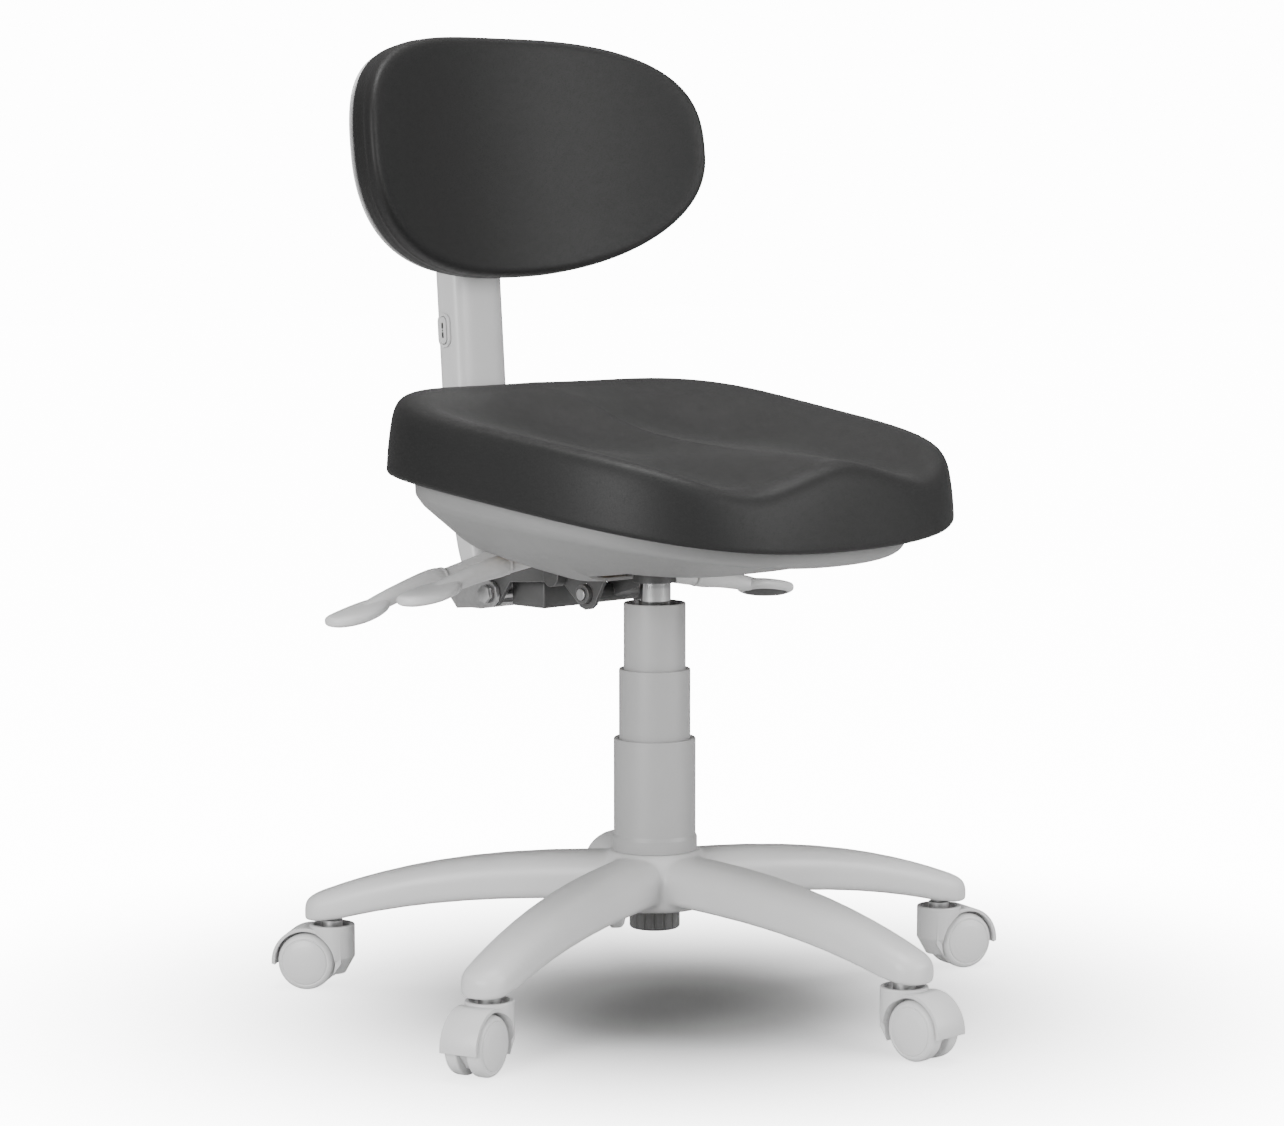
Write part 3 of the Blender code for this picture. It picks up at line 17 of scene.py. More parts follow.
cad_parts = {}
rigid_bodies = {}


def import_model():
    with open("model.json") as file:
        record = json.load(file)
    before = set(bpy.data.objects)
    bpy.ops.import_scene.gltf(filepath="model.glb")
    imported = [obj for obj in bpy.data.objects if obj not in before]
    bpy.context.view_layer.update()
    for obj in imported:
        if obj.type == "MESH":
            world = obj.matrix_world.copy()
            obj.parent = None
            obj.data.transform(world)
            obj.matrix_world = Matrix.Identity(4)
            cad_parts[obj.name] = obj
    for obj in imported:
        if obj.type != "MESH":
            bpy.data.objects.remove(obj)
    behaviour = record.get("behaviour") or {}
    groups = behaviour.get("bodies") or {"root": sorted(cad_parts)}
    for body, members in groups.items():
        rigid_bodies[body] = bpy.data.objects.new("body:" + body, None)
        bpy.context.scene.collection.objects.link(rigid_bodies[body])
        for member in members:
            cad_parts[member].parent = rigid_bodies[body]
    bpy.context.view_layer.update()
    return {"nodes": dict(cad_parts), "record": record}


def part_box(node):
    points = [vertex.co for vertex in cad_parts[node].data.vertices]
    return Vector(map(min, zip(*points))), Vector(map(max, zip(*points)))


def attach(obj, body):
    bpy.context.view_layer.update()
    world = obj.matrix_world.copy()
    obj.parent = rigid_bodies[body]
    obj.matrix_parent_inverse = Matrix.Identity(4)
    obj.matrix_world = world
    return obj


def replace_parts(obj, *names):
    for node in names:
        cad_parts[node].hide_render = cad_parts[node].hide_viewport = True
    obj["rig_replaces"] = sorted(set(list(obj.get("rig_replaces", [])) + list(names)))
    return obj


for name in ("Cube", "Light", "Camera"):
    if name in bpy.data.objects:
        bpy.data.objects.remove(bpy.data.objects[name], do_unlink=True)
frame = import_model()
MM = 0.001
low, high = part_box("gas_cylinder")
AXIS_Y = (low.y + high.y) / 2
print(f"{len(frame['nodes'])} engineering parts, column axis at y = {AXIS_Y * 1000:.1f} mm")

# %% [markdown]
# ## Places
# Most parts are turned about the column or hang from it, so a helper takes a point measured from the
# column's axis in millimetres and gives its place in the scene. Arrays of points work the same way.

# %% A point measured from the column, in millimetres
def from_column(points):
    """Scene metres = millimetres / 1000, moved along Y to the column's axis."""
    return np.asarray(points, float) * MM + np.array([0, AXIS_Y, 0])


print("the column's foot stands at", from_column((0, 0, 0)))

# %% [markdown]
# ## From arrays to meshes
# A surface is a grid of points: one row per ring, and each ring closed. Neighbouring rows make squares, and
# a fan closes each end. The enclosed volume tells whether the faces point outwards, so they can be turned.

# %% Grid of rings to a closed mesh
def face_volume(points, quads, fans):
    """Six times the enclosed volume: the sum of a . (b x c) over all triangles."""
    tris = np.concatenate([quads[:, [0, 1, 2]], quads[:, [0, 2, 3]], fans])
    a, b, c = points[tris[:, 0]], points[tris[:, 1]], points[tris[:, 2]]
    return np.einsum("ij,ij->i", a, np.cross(b, c)).sum()


def new_mesh_object(name, points, faces, sharp_above=40):
    """A shaded object from points and faces; creases sharper than the angle stay crisp."""
    mesh = bpy.data.meshes.new(name)
    mesh.from_pydata(np.asarray(points, float).tolist(), [], faces)
    mesh.update()
    mesh.shade_smooth()
    mesh.set_sharp_from_angle(angle=math.radians(sharp_above))
    piece = bpy.data.objects.new(name, mesh)
    bpy.context.scene.collection.objects.link(piece)
    return piece


def skin(name, rings, sharp_above=40, ends="closed"):
    """Squares between neighbouring rings, all faces outwards; the ends are closed, open or joined."""
    rings = np.asarray(rings, float)
    rows, columns = rings.shape[:2]
    index = np.arange(rows * columns).reshape(rows, columns)
    after = np.roll(index, -1, axis=1)
    quads = np.stack([index, after, np.roll(after, -1, axis=0), np.roll(index, -1, axis=0)], axis=-1)
    quads = (quads if ends == "joined" else quads[:-1]).reshape(-1, 4)
    points = rings.reshape(-1, 3)
    fans = np.zeros((0, 3), int)
    if ends == "closed":
        first, last = rows * columns, rows * columns + 1
        points = np.concatenate([points, rings[[0, -1]].mean(axis=1)])
        start = np.stack([after[0], index[0], np.full(columns, first)], axis=-1)
        finish = np.stack([index[-1], after[-1], np.full(columns, last)], axis=-1)
        fans = np.concatenate([start, finish])
    if face_volume(points - points.mean(axis=0), quads, fans) < 0:
        quads, fans = quads[:, ::-1], fans[:, ::-1]
    return new_mesh_object(name, points, quads.tolist() + fans.tolist(), sharp_above)


print("skin() closes a grid of rings")

# %% [markdown]
# ## Rounded profiles
# Moulded and turned parts have no knife edges. A drawn profile only needs its corners: each corner is
# swapped for a short curve, the quadratic Bezier through a point before it, the corner and a point after.

# %% Round every corner of a profile
def rounded(profile, radius, count=5, closed=False):
    """Corner P becomes (1-t)^2 A + 2t(1-t) P + t^2 B, with A and B up to a radius away on its sides."""
    profile = np.asarray(profile, float)
    before, after = np.roll(profile, 1, axis=0), np.roll(profile, -1, axis=0)
    if not closed:
        before[0], after[-1] = profile[0], profile[-1]
    back, ahead = before - profile, after - profile
    back_length = np.linalg.norm(back, axis=1, keepdims=True) + 1e-12
    ahead_length = np.linalg.norm(ahead, axis=1, keepdims=True) + 1e-12
    start = profile + back / back_length * np.minimum(radius, back_length * 0.45)
    end = profile + ahead / ahead_length * np.minimum(radius, ahead_length * 0.45)
    t = np.linspace(0, 1, count)[None, :, None]
    curve = (1 - t) ** 2 * start[:, None] + 2 * t * (1 - t) * profile[:, None] + t ** 2 * end[:, None]
    points = curve.reshape(-1, 2)
    if not closed:
        points = np.concatenate([profile[:1], curve[1:-1].reshape(-1, 2), profile[-1:]])
    return points


def revolve(profile, steps=96):
    """Rings of a turned profile of (radius, height): x = r cos t, y = r sin t."""
    profile = np.asarray(profile, float)
    t = np.linspace(0, 2 * np.pi, steps, endpoint=False)
    radius, height = profile[:, :1], profile[:, 1:]
    return np.stack([radius * np.cos(t), radius * np.sin(t), height + 0 * t], axis=-1)


def lathe(name, profile, sharp_above=50, ends="closed"):
    """Turns a profile in mm about the column's axis."""
    return skin(name, from_column(revolve(profile)), sharp_above, ends)


print("a square corner becomes", len(rounded([(0, 0), (1, 0), (1, 1)], 0.2)), "points")

# %% [markdown]
# ## Bars along a path
# Handles and bent bars keep one cross-section while they follow a curve. At each station the section is
# laid square to the path: across it along a fixed side direction, and up along the direction square to both.

# %% Sweep a section along a path
def smooth_path(points, count):
    """Catmull-Rom curve through the points, sampled evenly in the points' own order."""
    points = np.asarray(points, float)
    padded = np.concatenate([2 * points[:1] - points[1:2], points, 2 * points[-1:] - points[-2:-1]])
    s = np.linspace(0, len(points) - 1 - 1e-9, count)
    i, t = s.astype(int), (s % 1)[:, None]
    p0, p1, p2, p3 = (padded[i + k] for k in range(4))
    return 0.5 * (2 * p1 + (p2 - p0) * t + (2 * p0 - 5 * p1 + 4 * p2 - p3) * t ** 2
                  + (3 * p1 - p0 - 3 * p2 + p3) * t ** 3)


def sweep_rings(path, section, side, width=1, depth=1):
    """Ring point = path + side * across * width + (tangent x side) * up * depth."""
    path = np.asarray(path, float)
    tangent = np.gradient(path, axis=0)
    tangent /= np.linalg.norm(tangent, axis=1, keepdims=True)
    side = np.asarray(side, float)
    up = np.cross(tangent, side)
    width = np.broadcast_to(width, len(path))[:, None, None]
    depth = np.broadcast_to(depth, len(path))[:, None, None]
    across, rise = section[None, :, :1], section[None, :, 1:]
    return path[:, None] + side * across * width + up[:, None] * rise * depth


def ellipse_like(n, count):
    """Points on |x|^n + |y|^n = 1 at even spacing: n = 2 is round, a larger n is squarer."""
    t = np.linspace(0, 2 * np.pi, 4001)
    x = np.sign(np.cos(t)) * np.abs(np.cos(t)) ** (2 / n)
    y = np.sign(np.sin(t)) * np.abs(np.sin(t)) ** (2 / n)
    along = np.concatenate([[0], np.cumsum(np.hypot(np.diff(x), np.diff(y)))])
    even = np.linspace(0, along[-1], count, endpoint=False)
    return np.stack([np.interp(even, along, x), np.interp(even, along, y)], axis=-1)


print("a round section of 24 points closes at", ellipse_like(2, 24)[0])

# %% [markdown]
# ## Where each piece belongs
# A visible piece rides on one moving body, stands for the plain part that it hides, and takes a finish.
# One helper does all three, so that no piece is left behind when a joint moves.

# %% Dress a piece
def dress(piece, material, body, slot, *hidden):
    """Gives a piece its finish, its moving body and the engineering parts that it stands for."""
    piece.data.materials.clear()
    piece.data.materials.append(material)
    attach(piece, body)
    if hidden:
        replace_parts(piece, *hidden)
    return piece


bodies = frame["record"]["behaviour"]["bodies"]
body_of_node = {node: body for body, nodes in bodies.items() for node in nodes}
slot_of_node = {part["node"]: part["material_slot"] for part in frame["record"]["subparts"]}
print(len(set(body_of_node.values())), "moving bodies")

# %% [markdown]
# ## Softened engineering parts
# Pressed and machined parts keep their engineering shape. Their triangles are merged into flat faces, so
# that a narrow bevel can catch the light along each edge, as a deburred edge does on real steel.

# %% Copy an engineering part with softened edges
def softened(node, material, edge, sharp_above=35):
    """Merged copy of a part, with edges sharper than the angle bevelled by a width in mm."""
    mesh = frame["nodes"][node].data.copy()
    work = bmesh.new()
    work.from_mesh(mesh)
    bmesh.ops.remove_doubles(work, verts=work.verts, dist=2e-6)
    bmesh.ops.dissolve_limit(work, angle_limit=math.radians(0.6), verts=work.verts, edges=work.edges)
    work.to_mesh(mesh)
    work.free()
    mesh.shade_smooth()
    mesh.set_sharp_from_angle(angle=math.radians(sharp_above))
    piece = bpy.data.objects.new(node + "_smooth", mesh)
    bpy.context.scene.collection.objects.link(piece)
    if edge:
        bevel = piece.modifiers.new("deburred_edges", "BEVEL")
        bevel.width = edge * MM
        bevel.segments = 2
        bevel.limit_method = "ANGLE"
        bevel.angle_limit = math.radians(sharp_above)
        bevel.harden_normals = False
    return dress(piece, material, body_of_node[node], slot_of_node[node], node)


print("softened() is ready")

# %% [markdown]
# ## Shader groups
# A finish is more than a colour. Four small node groups are shared by the materials: moulding grain for
# plastics, a pebbled grain for vinyl, worn edges for painted steel, and dust that settles on top faces.
# Each group only puts out a mask or a height, and the material decides what that changes.

# %% Tools for building node groups
def plug(tree, socket, value):
    """Links another node's output to an input, or sets the input to a number, vector or colour."""
    if isinstance(value, bpy.types.NodeSocket):
        tree.links.new(value, socket)
    else:
        socket.default_value = value


def add(tree, kind, values=None, **settings):
    """Adds a shader node, sets its properties, then plugs its inputs, given by name or number."""
    made = tree.nodes.new("ShaderNode" + kind)
    for key, value in settings.items():
        setattr(made, key, value)
    for key, value in (values or {}).items():
        plug(tree, made.inputs[key], value)
    return made


def maths(tree, operation, *values, clamp=False):
    """A Math node on two or three sockets or numbers, and its output socket."""
    return add(tree, "Math", dict(enumerate(values)), operation=operation, use_clamp=clamp).outputs[0]


def carried(tree, value, to_low, to_high, from_low=0.0, from_high=1.0, kind="LINEAR"):
    """A value carried from one range to another, straight or as a smooth step."""
    limits = {"Value": value, "From Min": from_low, "From Max": from_high,
              "To Min": to_low, "To Max": to_high}
    return add(tree, "MapRange", limits, interpolation_type=kind).outputs["Result"]


def noise(tree, place, scale, detail=2.0, roughness=0.5, output="Fac"):
    """Cloudy noise at a place, with so many cells per metre."""
    values = {"Vector": place, "Scale": scale, "Detail": detail, "Roughness": roughness}
    return add(tree, "TexNoise", values).outputs[output]


def object_place(tree):
    """Coordinates that stay with the piece when it moves."""
    return add(tree, "TexCoord").outputs["Object"]


def new_group(name, inputs, outputs):
    """An empty shader group with named float sockets; inputs is {name: default}."""
    group = bpy.data.node_groups.new(name, "ShaderNodeTree")
    for label, value in inputs.items():
        group.interface.new_socket(label, in_out="INPUT", socket_type="NodeSocketFloat").default_value = value
    for label in outputs:
        group.interface.new_socket(label, in_out="OUTPUT", socket_type="NodeSocketFloat")
    return group, group.nodes.new("NodeGroupInput").outputs, group.nodes.new("NodeGroupOutput").inputs


print("node tools are ready")

# %% Moulding grain: fine spark-eroded texture and slow changes of tone
def make_moulding_grain():
    """Height = fine noise; Tone = slow noise stretched to 0..1. Cells per metre come in as inputs."""
    group, given, out = new_group("moulding_grain", {"Fine": 1800.0, "Slow": 9.0}, ["Height", "Tone"])
    place = object_place(group)
    plug(group, out["Height"], noise(group, place, given["Fine"], 3.0, 0.6))
    plug(group, out["Tone"], carried(group, noise(group, place, given["Slow"], 4.0), 0.0, 1.0, 0.3, 0.7))
    return group


MOULDING_GRAIN = make_moulding_grain()
print(MOULDING_GRAIN.name, "has", len(MOULDING_GRAIN.nodes), "nodes")

# %% Vinyl grain: small pebbles with creases between them, over a softer pull
def make_vinyl_grain():
    """Height = distance to the cell edge, softened, plus fine noise; Tone = slow noise."""
    group, given, out = new_group("vinyl_grain", {"Pebbles": 750.0, "Slow": 7.0}, ["Height", "Tone"])
    place = object_place(group)
    wobble = {0: noise(group, place, 240.0, output="Color"), 1: (0.0012, 0.0012, 0.0012), 2: place}
    pushed = add(group, "VectorMath", wobble, operation="MULTIPLY_ADD").outputs[0]
    cells = add(group, "TexVoronoi", {"Vector": pushed, "Scale": given["Pebbles"], "Randomness": 0.9},
                feature="DISTANCE_TO_EDGE")
    pebble = carried(group, cells.outputs["Distance"], 0.0, 1.0, 0.0, 0.22, "SMOOTHSTEP")
    fine = noise(group, pushed, given["Pebbles"])
    plug(group, out["Height"], maths(group, "MULTIPLY_ADD", fine, 0.35, pebble))
    slow = noise(group, place, given["Slow"], 5.0, 0.55)
    plug(group, out["Tone"], carried(group, slow, 0.0, 1.0, 0.3, 0.7))
    return group


VINYL_GRAIN = make_vinyl_grain()
print(VINYL_GRAIN.name, "has", len(VINYL_GRAIN.nodes), "nodes")

# %% [markdown]
# ## Wear and dust
# Paint goes first where an edge is sharp. Measuring curvature would need a fine mesh, while comparing the
# true normal with one rounded over a short reach finds edges on any mesh. Dust only has to know which way
# is up. Noise breaks both of them, because neither is even on a real stool.

# %% Worn edges: where a rounded-off normal leaves the true one
def make_worn_edges():
    """Mask = 1 - (rounded normal . true normal), scaled, broken up by noise."""
    group, given, out = new_group("worn_edges", {"Reach": 0.0012, "Amount": 6.0}, ["Mask"])
    round_off = add(group, "Bevel", {"Radius": given["Reach"]}, samples=4).outputs[0]
    normals = {0: round_off, 1: add(group, "NewGeometry").outputs["Normal"]}
    dot = add(group, "VectorMath", normals, operation="DOT_PRODUCT").outputs["Value"]
    clouds = noise(group, object_place(group), 180.0, 4.0)
    broken = maths(group, "MULTIPLY", maths(group, "SUBTRACT", 1.0, dot), clouds)
    plug(group, out["Mask"], maths(group, "MULTIPLY", broken, given["Amount"], clamp=True))
    return group


WORN_EDGES = make_worn_edges()
print(WORN_EDGES.name, "has", len(WORN_EDGES.nodes), "nodes")

# %% Settled dust: upward faces, thinned by noise
def make_settled_dust():
    """Mask = (how far the face looks up)^2 * noise * Amount."""
    group, given, out = new_group("settled_dust", {"Amount": 0.2}, ["Mask"])
    split = add(group, "SeparateXYZ", {0: add(group, "NewGeometry").outputs["Normal"]})
    squared = maths(group, "POWER", maths(group, "MAXIMUM", split.outputs["Z"], 0.0), 2.0)
    faced = maths(group, "MULTIPLY", squared, noise(group, object_place(group), 60.0, 6.0, 0.65))
    plug(group, out["Mask"], maths(group, "MULTIPLY", faced, given["Amount"], clamp=True))
    return group


SETTLED_DUST = make_settled_dust()
print(SETTLED_DUST.name, "has", len(SETTLED_DUST.nodes), "nodes")

# %% [markdown]
# ## Finishes
# Every material follows one recipe. A base colour drifts a little with the slow tone, dust lightens what
# looks up, the fine grain raises a shallow bump and shifts the roughness. Metals and vinyl add their own.

# %% The recipe for a finish
def new_material(name):
    """A material, its node tree and its shader."""
    material = bpy.data.materials.new(name)
    material.use_nodes = True
    return material, material.node_tree, material.node_tree.nodes["Principled BSDF"]


def group_node(tree, group, **values):
    """Outputs of a group placed in a material with its own input values."""
    made = tree.nodes.new("ShaderNodeGroup")
    made.node_tree = group
    for label, value in values.items():
        made.inputs[label].default_value = value
    return made.outputs


def mixed(tree, mask, first, second):
    """Colour mix of two colours or sockets by a mask."""
    return add(tree, "Mix", {0: mask, 6: first, 7: second}, data_type="RGBA").outputs[2]


def set_surface(tree, shader, colour, roughness, height, strength, distance):
    """Plugs a shader's colour and roughness, and its normal from a bump over a height."""
    bump = add(tree, "Bump", {"Strength": strength, "Distance": distance, "Height": height})
    plug(tree, shader.inputs["Base Color"], colour)
    plug(tree, shader.inputs["Roughness"], roughness)
    plug(tree, shader.inputs["Normal"], bump.outputs["Normal"])


def grey(value, warm=0.0):
    """A neutral colour; warm leans it a little towards red."""
    return (value * (1 + warm), value, value * (1 - warm), 1.0)


def plastic(name, value, tones=(0.96, 1.03), roughness=(0.40, 0.52), bump=0.00003, dust=0.10):
    """Moulded plastic: tone drift, fine grain and a little dust."""
    material, tree, shader = new_material(name)
    grain = group_node(tree, MOULDING_GRAIN, Fine=1800.0, Slow=11.0)
    settled = group_node(tree, SETTLED_DUST, Amount=dust)["Mask"]
    base = mixed(tree, grain["Tone"], grey(value * tones[0]), grey(value * tones[1]))
    dusty = mixed(tree, settled, base, grey(min(0.75, value * 1.6 + 0.05), 0.02))
    rough = maths(tree, "MULTIPLY_ADD", settled, 0.5, carried(tree, grain["Tone"], *roughness))
    set_surface(tree, shader, dusty, rough, grain["Height"], 1.0, bump)
    return material


PALE_NYLON = plastic("pale_nylon", 0.59, roughness=(0.30, 0.42))
WHEEL_NYLON = plastic("wheel_nylon", 0.63, roughness=(0.28, 0.40), dust=0.14)
COVER_PLASTIC = plastic("cover_plastic", 0.35, roughness=(0.36, 0.48))
PAN_PLASTIC = plastic("pan_plastic", 0.22, roughness=(0.45, 0.58), bump=0.00005)
CAP_PLASTIC = plastic("dark_grey_cap", 0.13, tones=(0.85, 1.15), roughness=(0.35, 0.5))
BLACK_PLASTIC = plastic("black_plastic", 0.03, tones=(0.8, 1.3), roughness=(0.5, 0.65))
print("plastics:", [m.name for m in bpy.data.materials])

# %% Charcoal vinyl for both cushions
def vinyl(name, value):
    """Pebbled grain with painted shade in the creases between pebbles, roughness lower on the pebbles than in
    the creases, a faint sheen.
    """
    material, tree, shader = new_material(name)
    for label, amount in (("Sheen Weight", 0.03), ("Sheen Roughness", 0.4), ("Specular IOR Level", 0.22)):
        shader.inputs[label].default_value = amount
    grain = group_node(tree, VINYL_GRAIN, Pebbles=900.0, Slow=6.0)
    settled = group_node(tree, SETTLED_DUST, Amount=0.05)["Mask"]
    base = mixed(tree, grain["Tone"], grey(value * 0.93), grey(value * 1.06))
    # Painted shade: the creases between the pebbles are darkened to 0.72 of the base colour; dust lies over
    # it.
    dusty = mixed(tree, settled, mixed(tree, grain["Height"], grey(value * 0.72), base), grey(0.3, 0.02))
    rough = carried(tree, grain["Height"], 0.60, 0.46)
    set_surface(tree, shader, dusty, rough, grain["Height"], 0.5, 0.00006)
    return material


CHARCOAL_VINYL = vinyl("charcoal_vinyl", 0.015)
print(CHARCOAL_VINYL.name, "has", len(CHARCOAL_VINYL.node_tree.nodes), "nodes")

# %% [markdown]
# ## Metals and wood
# One recipe serves three metals: noise drawn out along the grain moves both tone and roughness. A flat
# pattern would show its edges on a turned part, and noise in the piece's own space has none. The board
# hardly shows, so its plies are a plain wave in height.

# %% Metals: bright cylinder, zinc-plated hardware and painted steel
def metal(name, value, roughness, stretch=(1, 1, 1), scratch=900.0, bump=0.00001, worn=None, metallic=1.0):
    """Noise stretched along the grain moves the tone and roughness; worn = paint's edge colour."""
    material, tree, shader = new_material(name)
    place = add(tree, "Mapping", {"Vector": object_place(tree), "Scale": stretch}).outputs["Vector"]
    lines = noise(tree, place, scratch, 4.0, 0.7)
    base, shine = mixed(tree, lines, grey(value * 0.82), grey(value * 1.12)), metallic
    if worn:
        edges = group_node(tree, WORN_EDGES, Reach=0.0010, Amount=7.0)["Mask"]
        base, shine = mixed(tree, edges, base, grey(worn)), maths(tree, "MAXIMUM", edges, metallic)
    plug(tree, shader.inputs["Metallic"], shine)
    set_surface(tree, shader, base, carried(tree, lines, *roughness), lines, 0.6, bump)
    return material


BRIGHT_CHROME = metal("bright_chrome", 0.78, (0.06, 0.16), stretch=(1, 1, 0.04), scratch=500.0, bump=0.000004)
ZINC_PLATE = metal("zinc_plate", 0.58, (0.28, 0.48), scratch=260.0)
DARK_STEEL = metal("dark_steel", 0.085, (0.38, 0.55), scratch=1200.0, bump=0.00003, worn=0.42, metallic=0.15)
print("metals:", BRIGHT_CHROME.name, ZINC_PLATE.name, DARK_STEEL.name)

# %% Birch plywood for the board inside the seat
def plywood():
    """Colour = dark and light plies from a sine of height, with fibre noise stretched along X."""
    material, tree, shader = new_material("birch_plywood")
    place = object_place(tree)
    stretched = add(tree, "Mapping", {"Vector": place, "Scale": (6, 160, 160)}).outputs["Vector"]
    fibres = noise(tree, stretched, 1.0, 6.0)
    plies = add(tree, "TexWave", {"Vector": place, "Scale": 120.0, "Distortion": 0.6}, bands_direction="Z")
    wood = mixed(tree, fibres, (0.42, 0.28, 0.15, 1.0), (0.66, 0.50, 0.31, 1.0))
    dark = mixed(tree, plies.outputs["Fac"], wood, (0.34, 0.21, 0.11, 1.0))
    plug(tree, shader.inputs["Base Color"], mixed(tree, 0.35, wood, dark))
    plug(tree, shader.inputs["Roughness"], carried(tree, fibres, 0.55, 0.8))
    return material


BIRCH_PLYWOOD = plywood()
print(BIRCH_PLYWOOD.name, "is ready")

# %% [markdown]
# ## The stage
# A camera looks a little down on the stool from its right front corner. Three soft lamps and a bright
# surrounding light it. The surrounding is white to look at but weaker as a light, and it is brighter to both
# sides of the camera, so that round parts show a lit flank, a darker middle and a lit flank again.

# %% Camera
def place_camera(yaw=44.75, pitch=5.838, distance=3.0843, height=0.6976, lens=100.85, shift=-0.00986):
    """A camera at a distance from the column in a compass direction, tilted down by its pitch."""
    turn, dip = math.radians(yaw), math.radians(pitch)
    data = bpy.data.cameras.new("camera")
    data.lens, data.sensor_width, data.shift_x = lens, 36.0, shift
    made = bpy.data.objects.new("camera", data)
    made.location = (-distance * math.sin(turn), AXIS_Y - distance * math.cos(turn), height)
    made.rotation_euler = (math.pi / 2 - dip, 0, -turn)
    bpy.context.scene.collection.objects.link(made)
    bpy.context.scene.camera = made
    return made


camera = place_camera()
print("camera at", [round(value, 2) for value in camera.location])

# %% Soft lamps
def area_lamp(name, place, aim, size, watts):
    """A square lamp that faces a point."""
    data = bpy.data.lights.new(name, "AREA")
    data.shape, data.size, data.energy = "SQUARE", size, watts
    made = bpy.data.objects.new(name, data)
    made.location = place
    made.rotation_euler = (Vector(aim) - Vector(place)).to_track_quat("-Z", "Y").to_euler()
    bpy.context.scene.collection.objects.link(made)


area_lamp("overhead", (0.1, -0.1, 2.9), (0, 0, 0.4), 1.5, 78)
area_lamp("left_window", (-2.7, -0.5, 1.0), (0, 0, 0.4), 1.3, 75)
area_lamp("right_window", (1.2, -2.5, 1.1), (0, 0, 0.4), 1.3, 56)

# %% Bright surroundings: white to look at, much softer as a light
def make_surroundings(seen=14.0, lighting=0.42):
    """White where the camera looks. As a light it is a bell, brightest 52 degrees to each side of it."""
    world = bpy.data.worlds.new("studio")
    bpy.context.scene.world = world
    world.use_nodes = True
    tree = world.node_tree
    directions = {0: add(tree, "TexCoord").outputs["Generated"], 1: (-0.704, -0.710, 0.0)}
    towards = add(tree, "VectorMath", directions, operation="DOT_PRODUCT").outputs["Value"]
    off_peak = maths(tree, "MULTIPLY", maths(tree, "SUBTRACT", towards, 0.62), 3.2)
    squared = maths(tree, "MULTIPLY", off_peak, off_peak)
    bell = maths(tree, "POWER", 2.718, maths(tree, "MULTIPLY", squared, -1.0))
    level = maths(tree, "MULTIPLY_ADD", bell, 1.9, 0.45)
    camera_ray = add(tree, "LightPath").outputs["Is Camera Ray"]
    colour = add(tree, "Mix", {0: camera_ray, 2: level, 3: 1.0}, data_type="FLOAT").outputs[0]
    background = tree.nodes["Background"].inputs
    plug(tree, background["Color"], colour)
    plug(tree, background["Strength"], maths(tree, "MULTIPLY_ADD", camera_ray, seen - lighting, lighting))


make_surroundings()
print("surroundings:", bpy.context.scene.world.name)

# %% Pale floor with a painted shadow under the stool that fades to white away from it
def make_floor(half=14.0):
    """A square with a painted shadow: darker under the hub; its glow, for the camera only, rises from nought
    at 0.10 m to full at 0.85 m out.
    """
    corners = [(-half, -half, 0), (half, -half, 0), (half, half, 0), (-half, half, 0)]
    made = new_mesh_object("studio_floor", corners, [(0, 1, 2, 3)])
    material = plastic("pale_floor", 0.60, tones=(0.99, 1.01), roughness=(0.6, 0.66), bump=0.0, dust=0.0)
    tree = material.node_tree
    shader = tree.nodes["Principled BSDF"].inputs
    reach = add(tree, "VectorMath", {0: object_place(tree)}, operation="LENGTH").outputs["Value"]
    # Painted shadow: the floor's colour is 0.20 under the hub and rises to 0.60 by 0.2 m out.
    plug(tree, shader["Base Color"], carried(tree, reach, 0.20, 0.60, 0.02, 0.20, "SMOOTHSTEP"))
    # Painted shadow: the camera-only glow is nought near the stool and full from 0.85 m out, so the floor
    # stays dark round it.
    glow_outside_painted_shadow = carried(tree, reach, 0.0, 1.0, 0.10, 0.85, "SMOOTHSTEP")
    camera_ray = add(tree, "LightPath").outputs["Is Camera Ray"]
    plug(tree, shader["Emission Color"], maths(tree, "MULTIPLY", glow_outside_painted_shadow, camera_ray))
    shader["Emission Strength"].default_value = 14.0
    made.data.materials.append(material)
    return made


studio_floor = make_floor()
print("floor reaches", round(studio_floor.dimensions.x, 1), "m")

# %% [markdown]
# ## Seat cushion
# The cushion is foam on a board, wrapped in vinyl that is stapled underneath. Its plan is a squarish
# superellipse that is wider at the rear. The side walls lean in and roll over a full rounded edge to a top
# with two dishes, a low ridge between the thighs and a raised rear. One function gives the thickness at any
# place, so the rolled edge and the top can't disagree. Cloth simulation would put wrinkles where the real
# vinyl is pulled tight, so the surface is worked out directly.

# %% The seat's plan and parting surface
SEAT_HALF = (222.0, 202.0)
SEAT_CENTRE_Y = -32.0
SEAT_SLOPE = 0.122
SEAT_PLAN = (3.2, 0.077)
PAN_PLAN = (2.5, 0.21)


def seat_plan(scale, plan, count):
    """Ring in mm: x = 222 a s (1 + taper b s), y = -32 + 202 b s, with (a, b) on |a|^n + |b|^n = 1."""
    squareness, taper = plan
    outline = ellipse_like(squareness, count)
    x = SEAT_HALF[0] * outline[:, 0] * scale * (1 + taper * outline[:, 1] * scale)
    return x, SEAT_CENTRE_Y + SEAT_HALF[1] * outline[:, 1] * scale


def seat_base(x, y):
    """Parting height: 436.5 + 0.122 y + 15 (x / 222)^2, sloping up to the rear with its sides lifted."""
    return 436.5 + SEAT_SLOPE * y + 15 * (x / SEAT_HALF[0]) ** 2


print("the seat is", 2 * SEAT_HALF[0], "mm wide at its middle")

# %% Thickness of the seat cushion
def soft_step(value, width):
    """1 / (1 + e^(-value / width)): 0 below nought, 1 above it."""
    return 1 / (1 + np.exp(-value / width))


